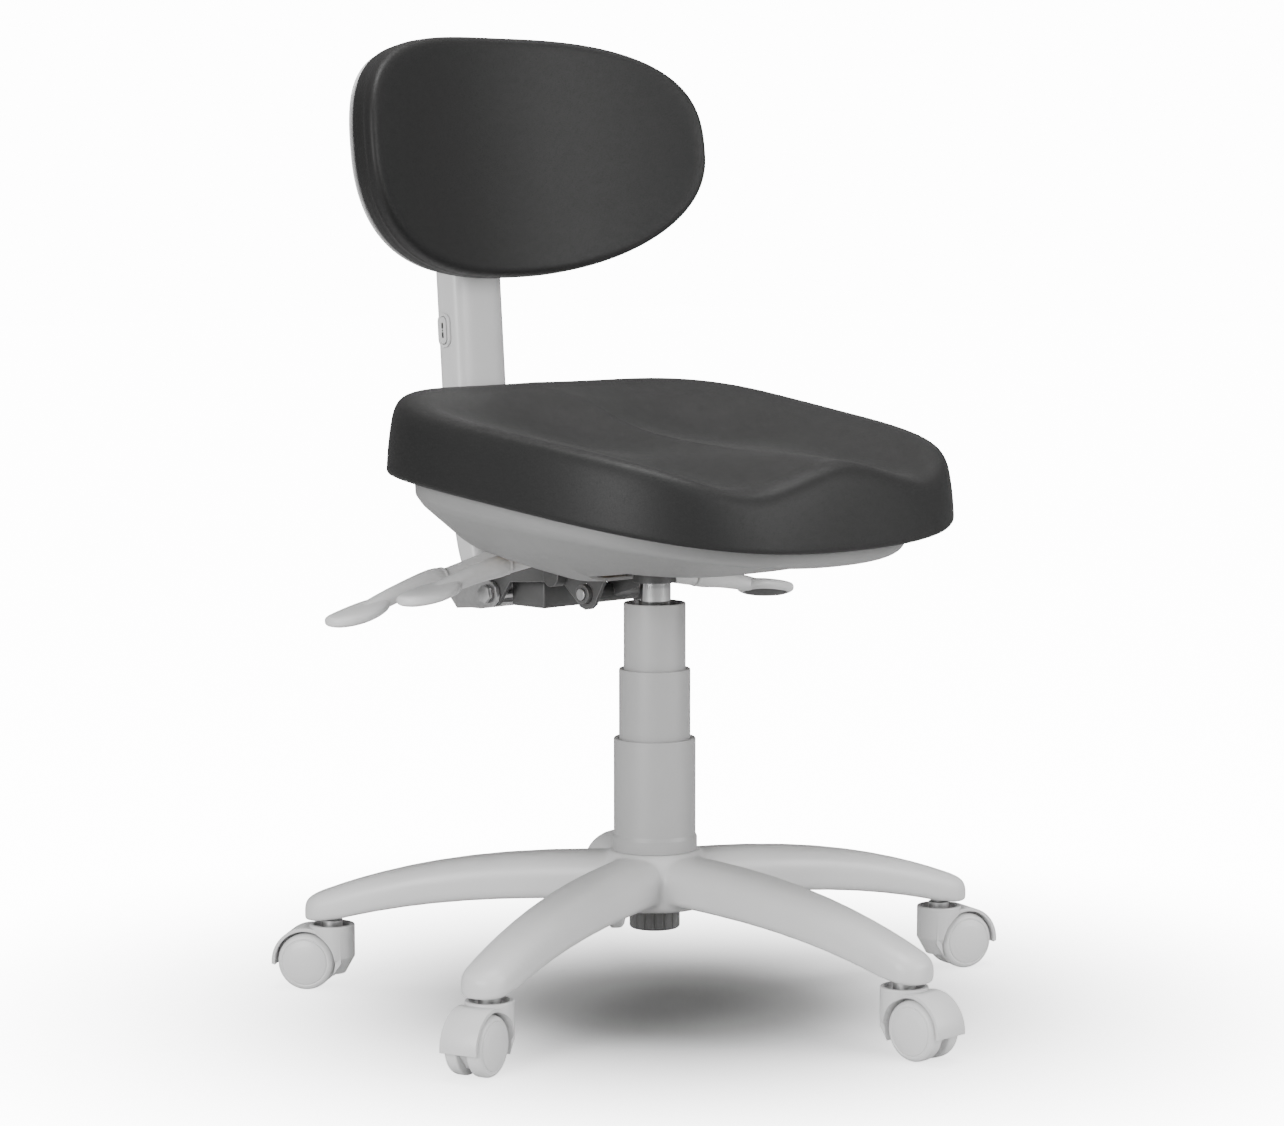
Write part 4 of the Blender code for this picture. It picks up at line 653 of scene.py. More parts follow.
def seat_thickness(x, y):
    """61 mm, plus the rear bolster and the front ridge, minus two dishes and two thigh channels."""
    u, v = x / SEAT_HALF[0], (y - SEAT_CENTRE_Y) / SEAT_HALF[1]
    dish = np.exp(-((abs(u) - 0.34) / 0.30) ** 2 - ((v - 0.22) / 0.48) ** 2)
    channel = np.exp(-((abs(u) - 0.50) / 0.22) ** 2) * soft_step(-(v + 0.35), 0.12)
    ridge = np.exp(-(u / 0.20) ** 2) * soft_step(-(v + 0.55), 0.12)
    bolster = (1 - 0.9 * np.minimum(1, abs(u)) ** 3) * soft_step(v - 0.45, 0.10)
    return 61 + 17 * bolster - 15 * dish - 14 * channel + 10 * ridge


print("thickness at the middle:", round(float(seat_thickness(0.0, SEAT_CENTRE_Y)), 1), "mm")

# %% Seat cushion skin
def make_seat_cushion(count=192):
    """Rings go from under the board, up the leaning wall, round a tight rolled rim and over the top."""
    levels = [(s, 0.0, 0.0) for s in (0.2, 0.5, 0.75, 0.9, 0.96)]
    levels += [(0.984, 0.0, 0.3), (0.994, 0.0, 1.2), (0.999, 0.0, 2.8)]
    wall = smooth_path([(1.0, 0.08), (0.995, 0.35), (0.986, 0.62), (0.975, 0.81), (0.957, 0.93),
                        (0.928, 0.99), (0.89, 1.012), (0.85, 1.006), (0.82, 1.0)], 40)
    levels += [(scale, share, 0.0) for scale, share in wall]
    levels += [(s, 1.0, 0.0) for s in np.linspace(0.79, 0.02, 34)]
    rings = []
    for scale, share, lift in levels:
        x, y = seat_plan(scale, SEAT_PLAN, count)
        rings.append(np.stack([x, y, seat_base(x, y) + lift + share * seat_thickness(x, y)], axis=-1))
    return skin("seat_upholstery", from_column(np.array(rings)), sharp_above=60)


seat_upholstery = dress(make_seat_cushion(), CHARCOAL_VINYL, "seat", "upholstery", "seat_cushion")
print("seat cushion faces:", len(seat_upholstery.data.polygons))

# %% [markdown]
# ## Backrest
# The backrest is one smooth pad on a moulded shell. Both follow the same outline, a superellipse squarer
# above than below, bent forward at its ends like a parabola and leaned back a little.

# %% The backrest's curved outline
PAD_HALF = (200.3, 106.5)
PAD_CENTRE = (206.0, 729.4)
PAD_LEAN = math.radians(6.5)
PAD_BEND = 55
SHELL_REAR = 17.1


def pad_outline(count):
    """Superellipse with n = 2.75 above its middle and 2.25 below, evenly spaced in each half."""
    top, foot = ellipse_like(2.75, count), ellipse_like(2.25, count)
    return np.where(np.arange(count)[:, None] < count // 2, top, foot)


def pad_rings(levels, count=192):
    """Levels of (scale, depth): y = depth - 55 (x / half)^2, then turned back by the lean about X."""
    outline = pad_outline(count)
    rings = []
    for scale, depth in levels:
        x, z = PAD_HALF[0] * outline[:, 0] * scale, PAD_HALF[1] * outline[:, 1] * scale
        y = depth - PAD_BEND * (x / PAD_HALF[0]) ** 2
        turned_y = PAD_CENTRE[0] + y * math.cos(PAD_LEAN) + z * math.sin(PAD_LEAN)
        turned_z = PAD_CENTRE[1] - y * math.sin(PAD_LEAN) + z * math.cos(PAD_LEAN)
        rings.append(np.stack([x, turned_y, turned_z], axis=-1))
    return from_column(np.array(rings))


print("backrest is", 2 * PAD_HALF[0], "mm wide")

# %% Backrest cushion
def make_backrest_cushion():
    """Flat face, a rolled rim from sin and cos of one angle, then a wall with two soft stretched creases."""
    levels = [(s, -23.0) for s in np.linspace(0.02, 0.885, 22)]
    turn = np.linspace(0, 1, 20)[1:] * np.pi / 2
    levels += list(zip(0.90 + 0.098 * np.sin(turn) ** 0.72, -23 + 11 * (1 - np.cos(turn) ** 0.72)))
    depth = np.linspace(-11.5, 6, 26)
    crease = 0.0030 * np.exp(-((depth + 6.5) / 1.7) ** 2) + 0.0012 * np.exp(-((depth - 1) / 1.7) ** 2)
    levels += list(zip(0.998 - 0.006 * ((depth + 11.5) / 17.5) ** 2 + crease, depth))
    levels += [(0.986, 8.2), (0.976, 9.5), (0.962, 10.0)] + [(s, 10.0) for s in (0.9, 0.6, 0.3, 0.05)]
    return skin("backrest_upholstery", pad_rings(levels), sharp_above=60)


backrest_upholstery = dress(make_backrest_cushion(), CHARCOAL_VINYL, "backrest", "upholstery",
                            "backrest_cushion")
print("backrest cushion faces:", len(backrest_upholstery.data.polygons))

# %% Backrest shell
def make_backrest_shell():
    """A dished moulding: flat against the pad, rounded rim, and a raised border on its rear."""
    levels = [(s, 11.6) for s in (0.05, 0.4, 0.8, 0.94)] + [(0.958, 11.8), (0.968, 12.6), (0.974, 13.8)]
    levels += [(0.9745, 14.6), (0.971, 15.6), (0.962, 16.5), (0.948, 17.0), (0.93, 17.1), (0.905, 17.1)]
    levels += [(0.897, 16.8), (0.892, 16.2), (0.886, 15.7), (0.878, 15.5)] + [(s, 15.5) for s in (0.8, 0.6)]
    levels += [(0.52, 15.6), (0.505, 16.2), (0.495, 16.8), (0.48, 17.1)]
    levels += [(s, 17.1) for s in (0.4, 0.2, 0.05)]
    return skin("backrest_back_shell", pad_rings(levels), sharp_above=50)


back_shell = dress(make_backrest_shell(), PALE_NYLON, "backrest", "pale_nylon", "backrest_shell")
print("shell depth:", round(back_shell.dimensions.y * 1000, 1), "mm")

# %% [markdown]
# ## Cutting and settling
# Some mouldings are easiest as a full skin with pieces cut away, as a tool maker would mill them. The cutter
# is used once and removed, and the modifiers are worked out so that the mesh itself holds the result.

# %% Cut a piece and settle its modifiers
def settle(piece):
    """Replaces a piece's mesh by the result of its modifiers, and removes them."""
    evaluated = piece.evaluated_get(bpy.context.evaluated_depsgraph_get())
    mesh = bpy.data.meshes.new_from_object(evaluated)
    piece.modifiers.clear()
    piece.data = mesh
    return piece


def combine(piece, tool, operation="DIFFERENCE"):
    """Exact Boolean with a tool that is removed afterwards."""
    modifier = piece.modifiers.new("combine", "BOOLEAN")
    modifier.operation, modifier.solver, modifier.object = operation, "EXACT", tool
    settle(piece)
    bpy.data.objects.remove(tool, do_unlink=True)
    return piece


def prism(name, outline, first, last, axis=0, to_scene=True):
    """An outline in the plane across an axis, carried from first to last along it (mm)."""
    outline = np.asarray(outline, float)
    rings = []
    for reach in (first, last):
        rings.append(np.insert(outline, axis, reach, axis=1))
    return skin(name, from_column(np.array(rings)) if to_scene else np.array(rings) * MM, 30)


def bevelled(piece, width=0.5, segments=2, above=35):
    """A narrow angle-limited bevel, worked out at once, and creases kept above the angle."""
    bevel = piece.modifiers.new("soft_edges", "BEVEL")
    bevel.width, bevel.segments, bevel.limit_method = width * MM, segments, "ANGLE"
    bevel.angle_limit = math.radians(above)
    settle(piece)
    piece.data.shade_smooth()
    piece.data.set_sharp_from_angle(angle=math.radians(above + 10))
    return piece


print("cutting tools are ready")

# %% [markdown]
# ## Seat pan
# Under the board sits a grey moulded pan: an upright lip, flanks that slope inwards and a narrow bottom. Its
# wall is even, so one skin and Solidify give it. Three cutters open it for the mechanism and the levers.

# %% Seat pan
def make_seat_pan(count=160):
    """Profile of (scale, share from the lip to the bottom), rounded at its bends, along the pan's plan."""
    corners = [(0.92, 0.0), (0.9165, 0.27), (0.745, 0.62), (0.45, 1.0), (0.2, 1.0)]
    profile = rounded(np.array(corners) * [1, 0.6], 0.05, 7) / [1, 0.6]
    rings = []
    for scale, share in profile:
        x, y = seat_plan(scale, PAN_PLAN, count)
        top, bottom = seat_base(x, y) - 0.3, 373.5 - 0.07 * y
        lip, flank = top - 15, (share - 0.27) / 0.73
        z = np.where(share <= 0.27, top + (lip - top) * share / 0.27, lip + (bottom - lip) * flank)
        rings.append(np.stack([x, y, z], axis=-1))
    pan = skin("seat_underpan", from_column(np.array(rings)), 30, "open")
    wall = pan.modifiers.new("wall", "SOLIDIFY")
    wall.thickness, wall.offset = 3 * MM, -1
    return settle(pan)


seat_pan = make_seat_pan()
pan_low, pan_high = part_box("seat_pan")
pan_widths = (seat_pan.dimensions.x, pan_high.x - pan_low.x)
print("pan width, visible and engineering:", [round(width / MM, 1) for width in pan_widths])

# %% [markdown]
# ## Openings in the pan
# The levers leave the pan at its sides and the column comes in from below. Bending the skin round each gap
# would tangle the rings, so three prisms are cut away, as the tool for the moulding has three inserts.

# %% Openings in the pan
low = 330.0
notch = [(-18, low), (-18, 375.5), (41, 399), (92, 402), (130, 413), (262, 430), (262, low)]
combine(seat_pan, prism("notch_cutter", notch, -300, 300))
mouth = [(-62, -112), (62, -112), (62, 200), (-62, 200)]
combine(seat_pan, prism("mouth_cutter", mouth, low, 421.5, axis=2))
arch = [(-122, low), (-122, 381.5), (-84, 387.5), (-37, 384.5), (-37, low)]
combine(seat_pan, prism("arch_cutter", arch, -115, 115))
dress(bevelled(seat_pan, 0.6, 2, 40), PAN_PLASTIC, "seat", "pan_plastic", "seat_pan")
print("pan faces:", len(seat_pan.data.polygons))

# %% [markdown]
# ## Telescopic covers and the gas spring
# The column's parts are round, so each is a profile turned about its axis. The covers are thin tubes with a
# small rolled rim. They are separate pieces, because each one travels by its own amount.

# %% Telescopic covers
def cover(name, radius, top, bottom, flare, inside, wall=1.4):
    """Outer wall down, inner wall up, a rolled rim on top, and a lip or a grip ring inside."""
    corners = [(radius - wall + 0.2, top - 0.1), (radius - 0.5, top), (radius, top - 0.9),
               (radius, bottom + 14), (radius + flare, bottom + 11), (radius + flare, bottom),
               (radius + flare - wall, bottom), (radius + flare - wall, bottom + 10.5),
               (radius - wall, bottom + 13.5)] + inside
    return lathe(name, rounded(corners, 0.35, 4, closed=True), ends="joined")


grip = [(25.5, 336.9), (14.3, 336.9), (14.3, 339.4), (25.5, 339.4)]
cover_top = cover("cover_upper_tube", 26.9, 348.4, 250.4, 0.0, grip)
lip = [(29.6, 288), (27.2, 288.5), (27.2, 290.6)]
cover_middle = cover("cover_middle_tube", 31.0, 291.0, 193.0, 0.0, lip)
lip = [(34.2, 227.8), (31.3, 228.3), (31.3, 230.4)]
cover_lower = cover("cover_lower_tube", 35.6, 230.8, 133.3, 1.3, lip)
for piece, node in ((cover_top, "cover_top"), (cover_middle, "cover_middle"), (cover_lower, "cover_lower")):
    dress(piece, COVER_PLASTIC, body_of_node[node], slot_of_node[node], node)
print("covers:", [round(p.dimensions.x * 1000, 1) for p in (cover_top, cover_middle, cover_lower)])

# %% [markdown]
# ## Bright cylinder and ribbed cap
# The cylinder is turned, tapers at its nose and has a recess below for its rod. The cap is round with fine
# grip grooves. Sixteen cut grooves would need sixteen Booleans; a wave on the radius makes them at once.

# %% Bright cylinder and the ribbed cap under the hub
cylinder_profile = [(0, 398), (13, 398), (14, 362), (14, 198), (5.3, 198), (5.3, 208), (0, 208)]
cylinder = dress(lathe("gas_spring_cylinder", rounded(cylinder_profile, 0.8, 5)), BRIGHT_CHROME, "lift",
                 "chrome_steel", "gas_cylinder")


def make_hub_cap(ribs=16, count=320):
    """Radius 22 mm with shallow grooves: r = 22 - 1.1 max(0, cos(ribs t))^6; a plain spigot above."""
    t = np.linspace(0, 2 * np.pi, count, endpoint=False)
    groove = 1.1 * np.maximum(0, np.cos(ribs * t)) ** 6
    rings = []
    profile = ((2, 65.2, 0), (12, 65.2, 0), (13, 64.2, 0), (19, 64.0, 0), (20.6, 64.3, 0.6), (21.6, 65.2, 1),
               (22, 66.6, 1), (22, 83.0, 1), (21.6, 83.7, 0.6), (19.7, 83.7, 0), (19.7, 90.6, 0),
               (19.2, 91, 0), (2, 91, 0))
    for radius, height, depth in profile:
        r = radius - groove * depth
        rings.append(np.stack([r * np.cos(t), r * np.sin(t), height + 0 * t], axis=-1))
    return skin("hub_ribbed_cap", from_column(np.array(rings)), 40)


hub_cap = dress(make_hub_cap(), CAP_PLASTIC, "base", slot_of_node["hub_cap"], "hub_cap")
print("cap and cylinder:", [round(piece.dimensions.x / MM, 1) for piece in (hub_cap, cylinder)], "mm across")

# %% [markdown]
# ## Star base
# Five arms run out of a hub in one nylon moulding, with soft valleys between them. Lofting each arm and the
# hub, merging them as a volume of small cells and then relaxing the surface gives those valleys for nothing.

# %% One arm of the base
def arm_rings(angle, count=64):
    """Section at distance r: an inverted U from arm_under(r) to arm_top(r), turned to the arm's angle."""
    tip, stem = 312.3, 288.8
    shares = np.array([0.02, 0.1, 0.2, 0.3, 0.42, 0.52, 0.62, 0.7, 0.78, 0.84, 0.89])
    stations = [(tip * k, 56 - 14 * k, 1.0) for k in shares]
    for turn in np.radians([15, 30, 45, 58, 70, 80, 86]):
        reach = tip - 21 * 0.98 * (1 - math.sin(turn))
        stations.append((reach, 42 * math.cos(turn) ** 0.75, 1 - 0.26 * (math.degrees(turn) / 80) ** 3.2))
    t = np.linspace(0, 2 * np.pi, count, endpoint=False) + np.pi / count
    c, s = np.cos(t), np.sin(t)
    power = np.where(s > 0, 2 / 2.6, 2 / 6)
    across, rise = np.sign(c) * abs(c) ** power, np.sign(s) * abs(s) ** power
    rings = []
    for r, width, share in stations:
        under = 90.5 - 29 * min(1, r / stem) ** 2.8
        top = under + (131 - 50 * (r / tip) ** 2.6 - under) * share
        middle = under + 0.42 * (top - under)
        z = middle + rise * np.where(s > 0, top - middle, middle - under)
        side = across * width / 2
        rings.append(np.stack([r * math.cos(angle) - side * math.sin(angle),
                               r * math.sin(angle) + side * math.cos(angle), z], axis=-1))
    return np.array(rings)


CASTOR_NAMES = ("front", "left_front", "left_rear", "right_rear", "right_front")
CASTOR_ANGLES = {name: math.radians(-90 + 72 * i) for i, name in enumerate(CASTOR_NAMES)}
print("arm directions:", [round(math.degrees(a)) for a in CASTOR_ANGLES.values()])

# %% Hub and arms merged and relaxed
def merge_volumes(name, pieces, cell, relax):
    """Joins closed skins, rebuilds them as one surface of small cells and smooths it a little."""
    vertices, faces, start = [], [], 0
    for piece in pieces:
        points = np.empty(len(piece.data.vertices) * 3)
        piece.data.vertices.foreach_get("co", points)
        vertices.append(points.reshape(-1, 3))
        faces += [[i + start for i in face.vertices] for face in piece.data.polygons]
        start += len(piece.data.vertices)
        bpy.data.objects.remove(piece, do_unlink=True)
    made = new_mesh_object(name, np.concatenate(vertices), faces)
    remesh = made.modifiers.new("cells", "REMESH")
    remesh.mode, remesh.voxel_size = "VOXEL", cell * MM
    settle(made)
    smooth = made.modifiers.new("relaxed", "SMOOTH")
    smooth.factor, smooth.iterations = 0.5, relax
    settle(made)
    made.data.shade_smooth()
    return made


hub = lathe("hub", rounded([(0, 133.3), (39.5, 133.3), (40.6, 130.5), (44, 124), (47.5, 115), (48.7, 87),
                            (45.5, 84), (0, 84)], 2.5, 6))
arms = [skin("arm_" + name, from_column(arm_rings(angle))) for name, angle in CASTOR_ANGLES.items()]
star_base = merge_volumes("star_base_moulding", [hub] + arms, 2.0, 8)
combine(star_base, lathe("hub_bore", [(0, 150), (25.3, 150), (25.3, 91.7), (20, 91.7), (20, 70), (0, 70)]))
dress(star_base, PALE_NYLON, "base", "pale_nylon", "star_base")
print("base faces:", len(star_base.data.polygons), "top at", round(star_base.bound_box[1][2] * 1000, 1))

# %% [markdown]
# ## Castors
# All five castors are alike, so the hood and both wheels are made once at the origin, with the trailing
# direction along +X, and copied to their places. The hood is a web between the wheels under a cylindrical
# shell, joined to an upright socket.

# %% Castor hood
WHEEL_RADIUS, TRAIL, HOOD_RADIUS = 25.0, 20.9, 30.2
STEM_CIRCLE = 288.8


def arc(centre, radius, first, last, count):
    """Points on a circle between two angles in degrees."""
    t = np.radians(np.linspace(first, last, count))
    return np.stack([centre[0] + radius * np.cos(t), centre[1] + radius * np.sin(t)], axis=-1)


def turned_local(name, profile, steps=72):
    """Turned profile in mm about the upright line through the origin."""
    return skin(name, revolve(profile, steps) * MM)


def cross_rod(name, first, last, radius, steps=72):
    """Round bar along Y through the wheel axle."""
    ring = arc((TRAIL, WHEEL_RADIUS), radius, 0, 360 - 360 / steps, steps)
    return prism(name, ring, first, last, axis=1, to_scene=False)


def make_hood():
    """Extruded outline joined to the socket, then two wheel spaces and the stem's recess cut out."""
    r = WHEEL_RADIUS
    outline = np.concatenate([arc((TRAIL, r), HOOD_RADIUS, -4, 112, 48), [
        (-11, 55.3), (-12, r), (TRAIL - r * 0.93, r * 0.45), (TRAIL - 8, r * 0.3), (TRAIL + 9, r * 0.3),
        (TRAIL + r * 0.8, r * 0.78)]])
    hood = prism("castor_hood", outline, -16.6, 16.6, axis=1, to_scene=False)
    socket = rounded([(0, 57.3), (19.3, 57.3), (20, 56.6), (20, 28.8), (11.6, 13.8), (0, 11.3)], 0.5, 5)
    combine(hood, turned_local("socket", socket), "UNION")
    for side in (-1, 1):
        combine(hood, cross_rod("wheel_space", side * 4, side * 40, WHEEL_RADIUS + 2.4, 96))
    recess = [(0, 64), (16.8, 64), (16.8, 52.8), (5.8, 52.8), (5.8, 48.7), (2.5, 48.7), (2.5, 23), (0, 23)]
    combine(hood, turned_local("recess", recess))
    return bevelled(hood, 0.55, 3, 35)


hood = make_hood()
print("hood faces:", len(hood.data.polygons), "size", [round(d * 1000, 1) for d in hood.dimensions])

# %% [markdown]
# ## Castor wheels
# A wheel is a turned disc with a slightly domed face, a thin groove inside its rim and a rounded tread. Its
# rings are worked out straight in the plane of the wheel. One sign turns the same disc to the other side.

# %% Castor wheel
def make_wheel(side, steps=80):
    """(radius, distance from the middle) of a domed disc with a ring groove and a rounded tread."""
    inner = 4.3
    outer = inner + 13.0
    profile = [(0.6, outer + 2.6), (5.5, outer + 2.5), (10, outer + 2.15), (14.2, outer + 1.55),
               (18.6, outer + 0.35), (19.4, outer + 0.1), (19.9, outer - 0.7), (20.5, outer - 0.75),
               (21.0, outer - 0.2), (22.4, outer - 0.7), (24.1, outer - 2.2), (24.8, outer - 3.8),
               (25.0, outer - 5.5), (25.0, inner + 3), (24.8, inner + 1.2), (24.0, inner + 0.3),
               (22.5, inner), (3.3, inner), (3.3, outer - 4)]
    profile = rounded(profile, 0.5, 4)
    t = np.linspace(0, 2 * np.pi, steps, endpoint=False)
    radius, off = profile[:, :1] * MM, profile[:, 1:] * MM
    rings = np.stack([TRAIL * MM + radius * np.sin(t), side * off + 0 * t,
                      WHEEL_RADIUS * MM + radius * np.cos(t)], axis=-1)
    return skin("wheel", rings, 40)


def stand_at(source, name, angle):
    """A copy of a castor piece, turned to an arm's direction and moved to its stem, in its mesh."""
    mesh = source.data.copy()
    stem = from_column((STEM_CIRCLE * math.cos(angle), STEM_CIRCLE * math.sin(angle), 0))
    mesh.transform(Matrix.Translation(Vector(stem)) @ Matrix.Rotation(angle, 4, "Z"))
    piece = bpy.data.objects.new(name, mesh)
    bpy.context.scene.collection.objects.link(piece)
    return piece


wheels = {"a": make_wheel(-1), "b": make_wheel(1)}
print("wheel faces:", len(wheels["a"].data.polygons))

# %% Five castors
for where, angle in CASTOR_ANGLES.items():
    body = "castor_" + where
    dress(stand_at(hood, body + "_hood", angle), PALE_NYLON, body, "pale_nylon", body + "_housing")
    for word, source in wheels.items():
        node = f"{body}_wheel_{word}"
        wheel = stand_at(source, node + "_disc", angle)
        dress(wheel, WHEEL_NYLON, f"wheel_{where}_{word}", slot_of_node[node], node)
for piece in (hood, *wheels.values()):
    bpy.data.objects.remove(piece, do_unlink=True)
print("castor hoods and wheels:", len(CASTOR_ANGLES) * 3)

# %% [markdown]
# ## Levers
# A grey rod leaves the mechanism and bends down a little to a ring. There a moulded grip takes over and
# widens into a comma-shaped paddle with a rolled rim and a hollow underside. Both parts follow one line.

# %% The line of a lever
LEVERS = {
    "height": (-1, 67.0, ((44, 389), (78, 387.5), (110, 383.5), (199, 366))),
    "back": (-1, 150.0, ((44, 382), (72, 375.5), (110, 367), (208, 343))),
    "tilt": (1, 64.0, ((44, 368), (76, 362.5), (112, 356.5), (206, 341))),
}


def grip_line(lever, distance):
    """z = ring - d tan 5 deg - sag t^2 (1.5 - t^2 / 2) with t = d / reach, level again at the paddle."""
    side, y, path = LEVERS[lever]
    (ring_x, ring_z), (paddle_x, paddle_z) = path[2], path[3]
    reach, slope = paddle_x - ring_x, math.tan(math.radians(5))
    sag = ring_z - paddle_z - reach * slope
    distance = np.asarray(distance, float)
    t = distance / reach
    z = ring_z - distance * slope - sag * t ** 2 * (1.5 - 0.5 * t ** 2)
    return np.stack([side * (ring_x + distance), y + 0 * distance, z], axis=-1), reach


print("the height lever's paddle is", grip_line("height", 0)[1], "mm past its ring")

# %% Lever rods
def make_lever_rod(lever, count=32):
    """Round bar of 7.2 mm radius from the hinge over one soft bend to the ring, and a thin spigot."""
    side, y, path = LEVERS[lever]
    ends = grip_line(lever, [-0.6])[0]
    start = [(side * path[0][0], y, path[0][1]), (side * path[1][0], y, path[1][1])]
    line = smooth_path(np.concatenate([start, ends]), 28)
    spigot = grip_line(lever, np.linspace(0, 26, 8))[0]
    line = np.concatenate([line, spigot])
    radius = np.concatenate([np.full(28, 7.2), np.full(8, 4.6)])
    radius[0] = 6.6
    return skin(f"lever_{lever}_bar", from_column(
        sweep_rings(line, ellipse_like(2, count), (0, 1, 0), radius, radius)), 50)


for lever in LEVERS:
    node = f"lever_{lever}_rod"
    rod = make_lever_rod(lever)
    dress(rod, PALE_NYLON, body_of_node[node], slot_of_node[node], node)


def make_finger(count=32):
    """Thin finger from the hinge over the valve pin: (x + 3.2 cos t, y, z + 2.6 sin t) down its line."""
    line = smooth_path(np.array([(-46, 67, 389), (-34, 61, 391), (-16.7, 25, 403.9), (0, -3, 406.5)]), 30)
    t = np.linspace(0, 2 * np.pi, count, endpoint=False)
    ring = np.stack([3.2 * np.cos(t), 0 * t, 2.6 * np.sin(t)], axis=-1)
    return skin("lever_height_finger", from_column(line[:, None] + ring), 50)


dress(make_finger(), PALE_NYLON, "lever_height", "pale_nylon")
print("three rods, and the finger over the valve pin")

# %% [markdown]
# ## Grips and paddles
# A grip is a swept sleeve that joins a rounded disc. Modelled as one sweep, the sudden change of width would
# fold its rings, so sleeve and disc are two clean skins joined by a Boolean, and a second disc is cut from
# below for the hollow. A thin dark disc in the hollow is painted shade.

# %% Lever grips and paddles
ROLL = {"height": 0.0, "back": 0.0, "tilt": math.radians(16)}


def paddle_disc(lever, half, width, depth, drop, power, count=64):
    """Rounded disc along the grip line: each section's width and depth close like (1 - share^2)^power."""
    reach = grip_line(lever, 0)[1]
    share = np.sin(np.linspace(-1, 1, 40) * np.pi / 2 * 0.985)
    line = grip_line(lever, reach + share * half)[0] - [0, 0, drop]
    wide = width * (1 - share ** 2) ** power
    deep = depth * (1 - share ** 2) ** 0.22
    side = (0, math.cos(ROLL[lever]), -math.sin(ROLL[lever]))
    return skin("disc", from_column(sweep_rings(line, ellipse_like(2.5, count), side, wide, deep)), 60)


def make_paddle(lever, count=48):
    """A round sleeve with a rolled ring end, joined to a disc whose inner shoulder hooks round it."""
    reach = grip_line(lever, 0)[1]
    d = np.array([0.4, 0.9, 1.8, 3.4, 4.2, 5.0, 8, 14, 22, 32, 42,
                  reach * 0.6, reach * 0.75, reach * 0.9, reach])
    across = np.array([7.6, 8.3, 8.6, 8.6, 8.3, 8.5, 9.0, 9.4, 9.2, 8.8, 8.6, 8.8, 9.4, 9.4, 7.0])
    deep = np.array([7.6, 8.3, 8.6, 8.6, 8.3, 8.5, 9.0, 9.2, 8.8, 8.2, 7.8, 7.4, 6.8, 5.6, 3.6])
    line = grip_line(lever, d)[0] + [0, 0, 0.6]
    rings = sweep_rings(line, ellipse_like(2.1, count), (0, 1, 0), across, deep)
    grip = skin(f"lever_{lever}_grip", from_column(rings))
    combine(grip, paddle_disc(lever, 31.0, 20.0, 6.4, 0.8, 0.42), "UNION")
    combine(grip, paddle_disc(lever, 24.5, 16.4, 5.6, 5.4, 0.40, 40))
    line = grip_line(lever, np.linspace(-4, 26.6, 6))[0]
    combine(grip, skin("bore", from_column(sweep_rings(line, ellipse_like(2, 32), (0, 1, 0), 4.9, 4.9))))
    return bevelled(grip, 0.6, 3, 35)


for lever in LEVERS:
    node = f"lever_{lever}_paddle"
    dress(make_paddle(lever), PALE_NYLON, body_of_node[node], slot_of_node[node], node)
    # Painted shade: a thin black disc laid in each paddle's hollow, where the nylon is only in shade.
    painted_shade_disc = paddle_disc(lever, 23.4, 15.4, 1.6, 4.2, 0.40, 40)
    painted_shade_disc.name = f"lever_{lever}_liner"
    dress(painted_shade_disc, BLACK_PLASTIC, body_of_node[node], "black_plastic")
print("three levers are dressed")

# %% [markdown]
# ## Backrest bar
# The bar is one rectangular moulding with generous corners. It rises behind the seat, leaning back four
# degrees, and curls forward below to the bracket, getting thinner as it goes.

# %% Backrest bar
BAR_LEAN = math.radians(4)


def bar_line():
    """(y, z, depth share) down the bar: straight above, then curling forward under the seat."""
    z = np.array([752.0, 690, 640, 590, 540, 505])
    straight = np.stack([239 + (z - 629) * math.tan(BAR_LEAN), z, 1 + 0 * z], axis=-1)
    foot = [(227, 470, 1), (218.5, 410, 0.94), (211, 374, 0.8), (199, 354, 0.64), (179, 344, 0.5)]
    return np.concatenate([straight, foot])


def make_bar(count=72):
    """Section |x / 29|^5 + |y / 16.5|^5 = 1 carried down the bar's line, with rounded ends."""
    line = smooth_path(bar_line(), 90)
    share = line[:, 2].copy()
    width = np.full(len(line), 29.0)
    for i, k in ((0, 0.93), (1, 0.985), (-1, 0.9), (-2, 0.975)):
        width[i] *= k
        share[i] *= k
    path = np.stack([0 * share, line[:, 0], line[:, 1]], axis=-1)
    path[1] = path[0] + (path[1] - path[0]) * 0.2
    path[-2] = path[-1] + (path[-2] - path[-1]) * 0.3
    rings = sweep_rings(path, ellipse_like(5, count), (1, 0, 0), width, 16.5 * share)
    return skin("backrest_post", from_column(rings))


def pill_outline(width, height, y, z, lean):
    """Stadium outline about (y, z), turned by the bar's lean."""
    straight = height / 2 - width / 2
    shape = np.concatenate([arc((0, straight), width / 2, 0, 180, 24),
                            arc((0, -straight), width / 2, 180, 360, 24)])
    turn = np.array([[math.cos(lean), math.sin(lean)], [-math.sin(lean), math.cos(lean)]])
    return shape @ turn.T + [y, z]


post = make_bar()
LOCK = (239 + (577 - 629) * math.tan(BAR_LEAN) + 2, 577.0)
combine(post, prism("lock_pocket", pill_outline(9, 25, *LOCK, BAR_LEAN), -39, -23))
dress(bevelled(post, 0.4, 2, 40), PALE_NYLON, "back", "pale_nylon", "backrest_bar")
for name, height, width, offset in (("lock_slot_upper", 5.5, 2.2, 4.2), ("lock_slot_lower", 5.5, 2.2, -4.2),
                                    ("lock_slot_middle", 1.6, 1.5, 0.0)):
    lock_y = LOCK[0] + offset * math.sin(BAR_LEAN)
    slot = pill_outline(width, height, lock_y, LOCK[1] + offset, BAR_LEAN)
    dress(prism(name, slot, -32.7, -31.0), BLACK_PLASTIC, "lock", "black_plastic")
print("post:", [round(v * 1000, 1) for v in post.dimensions])
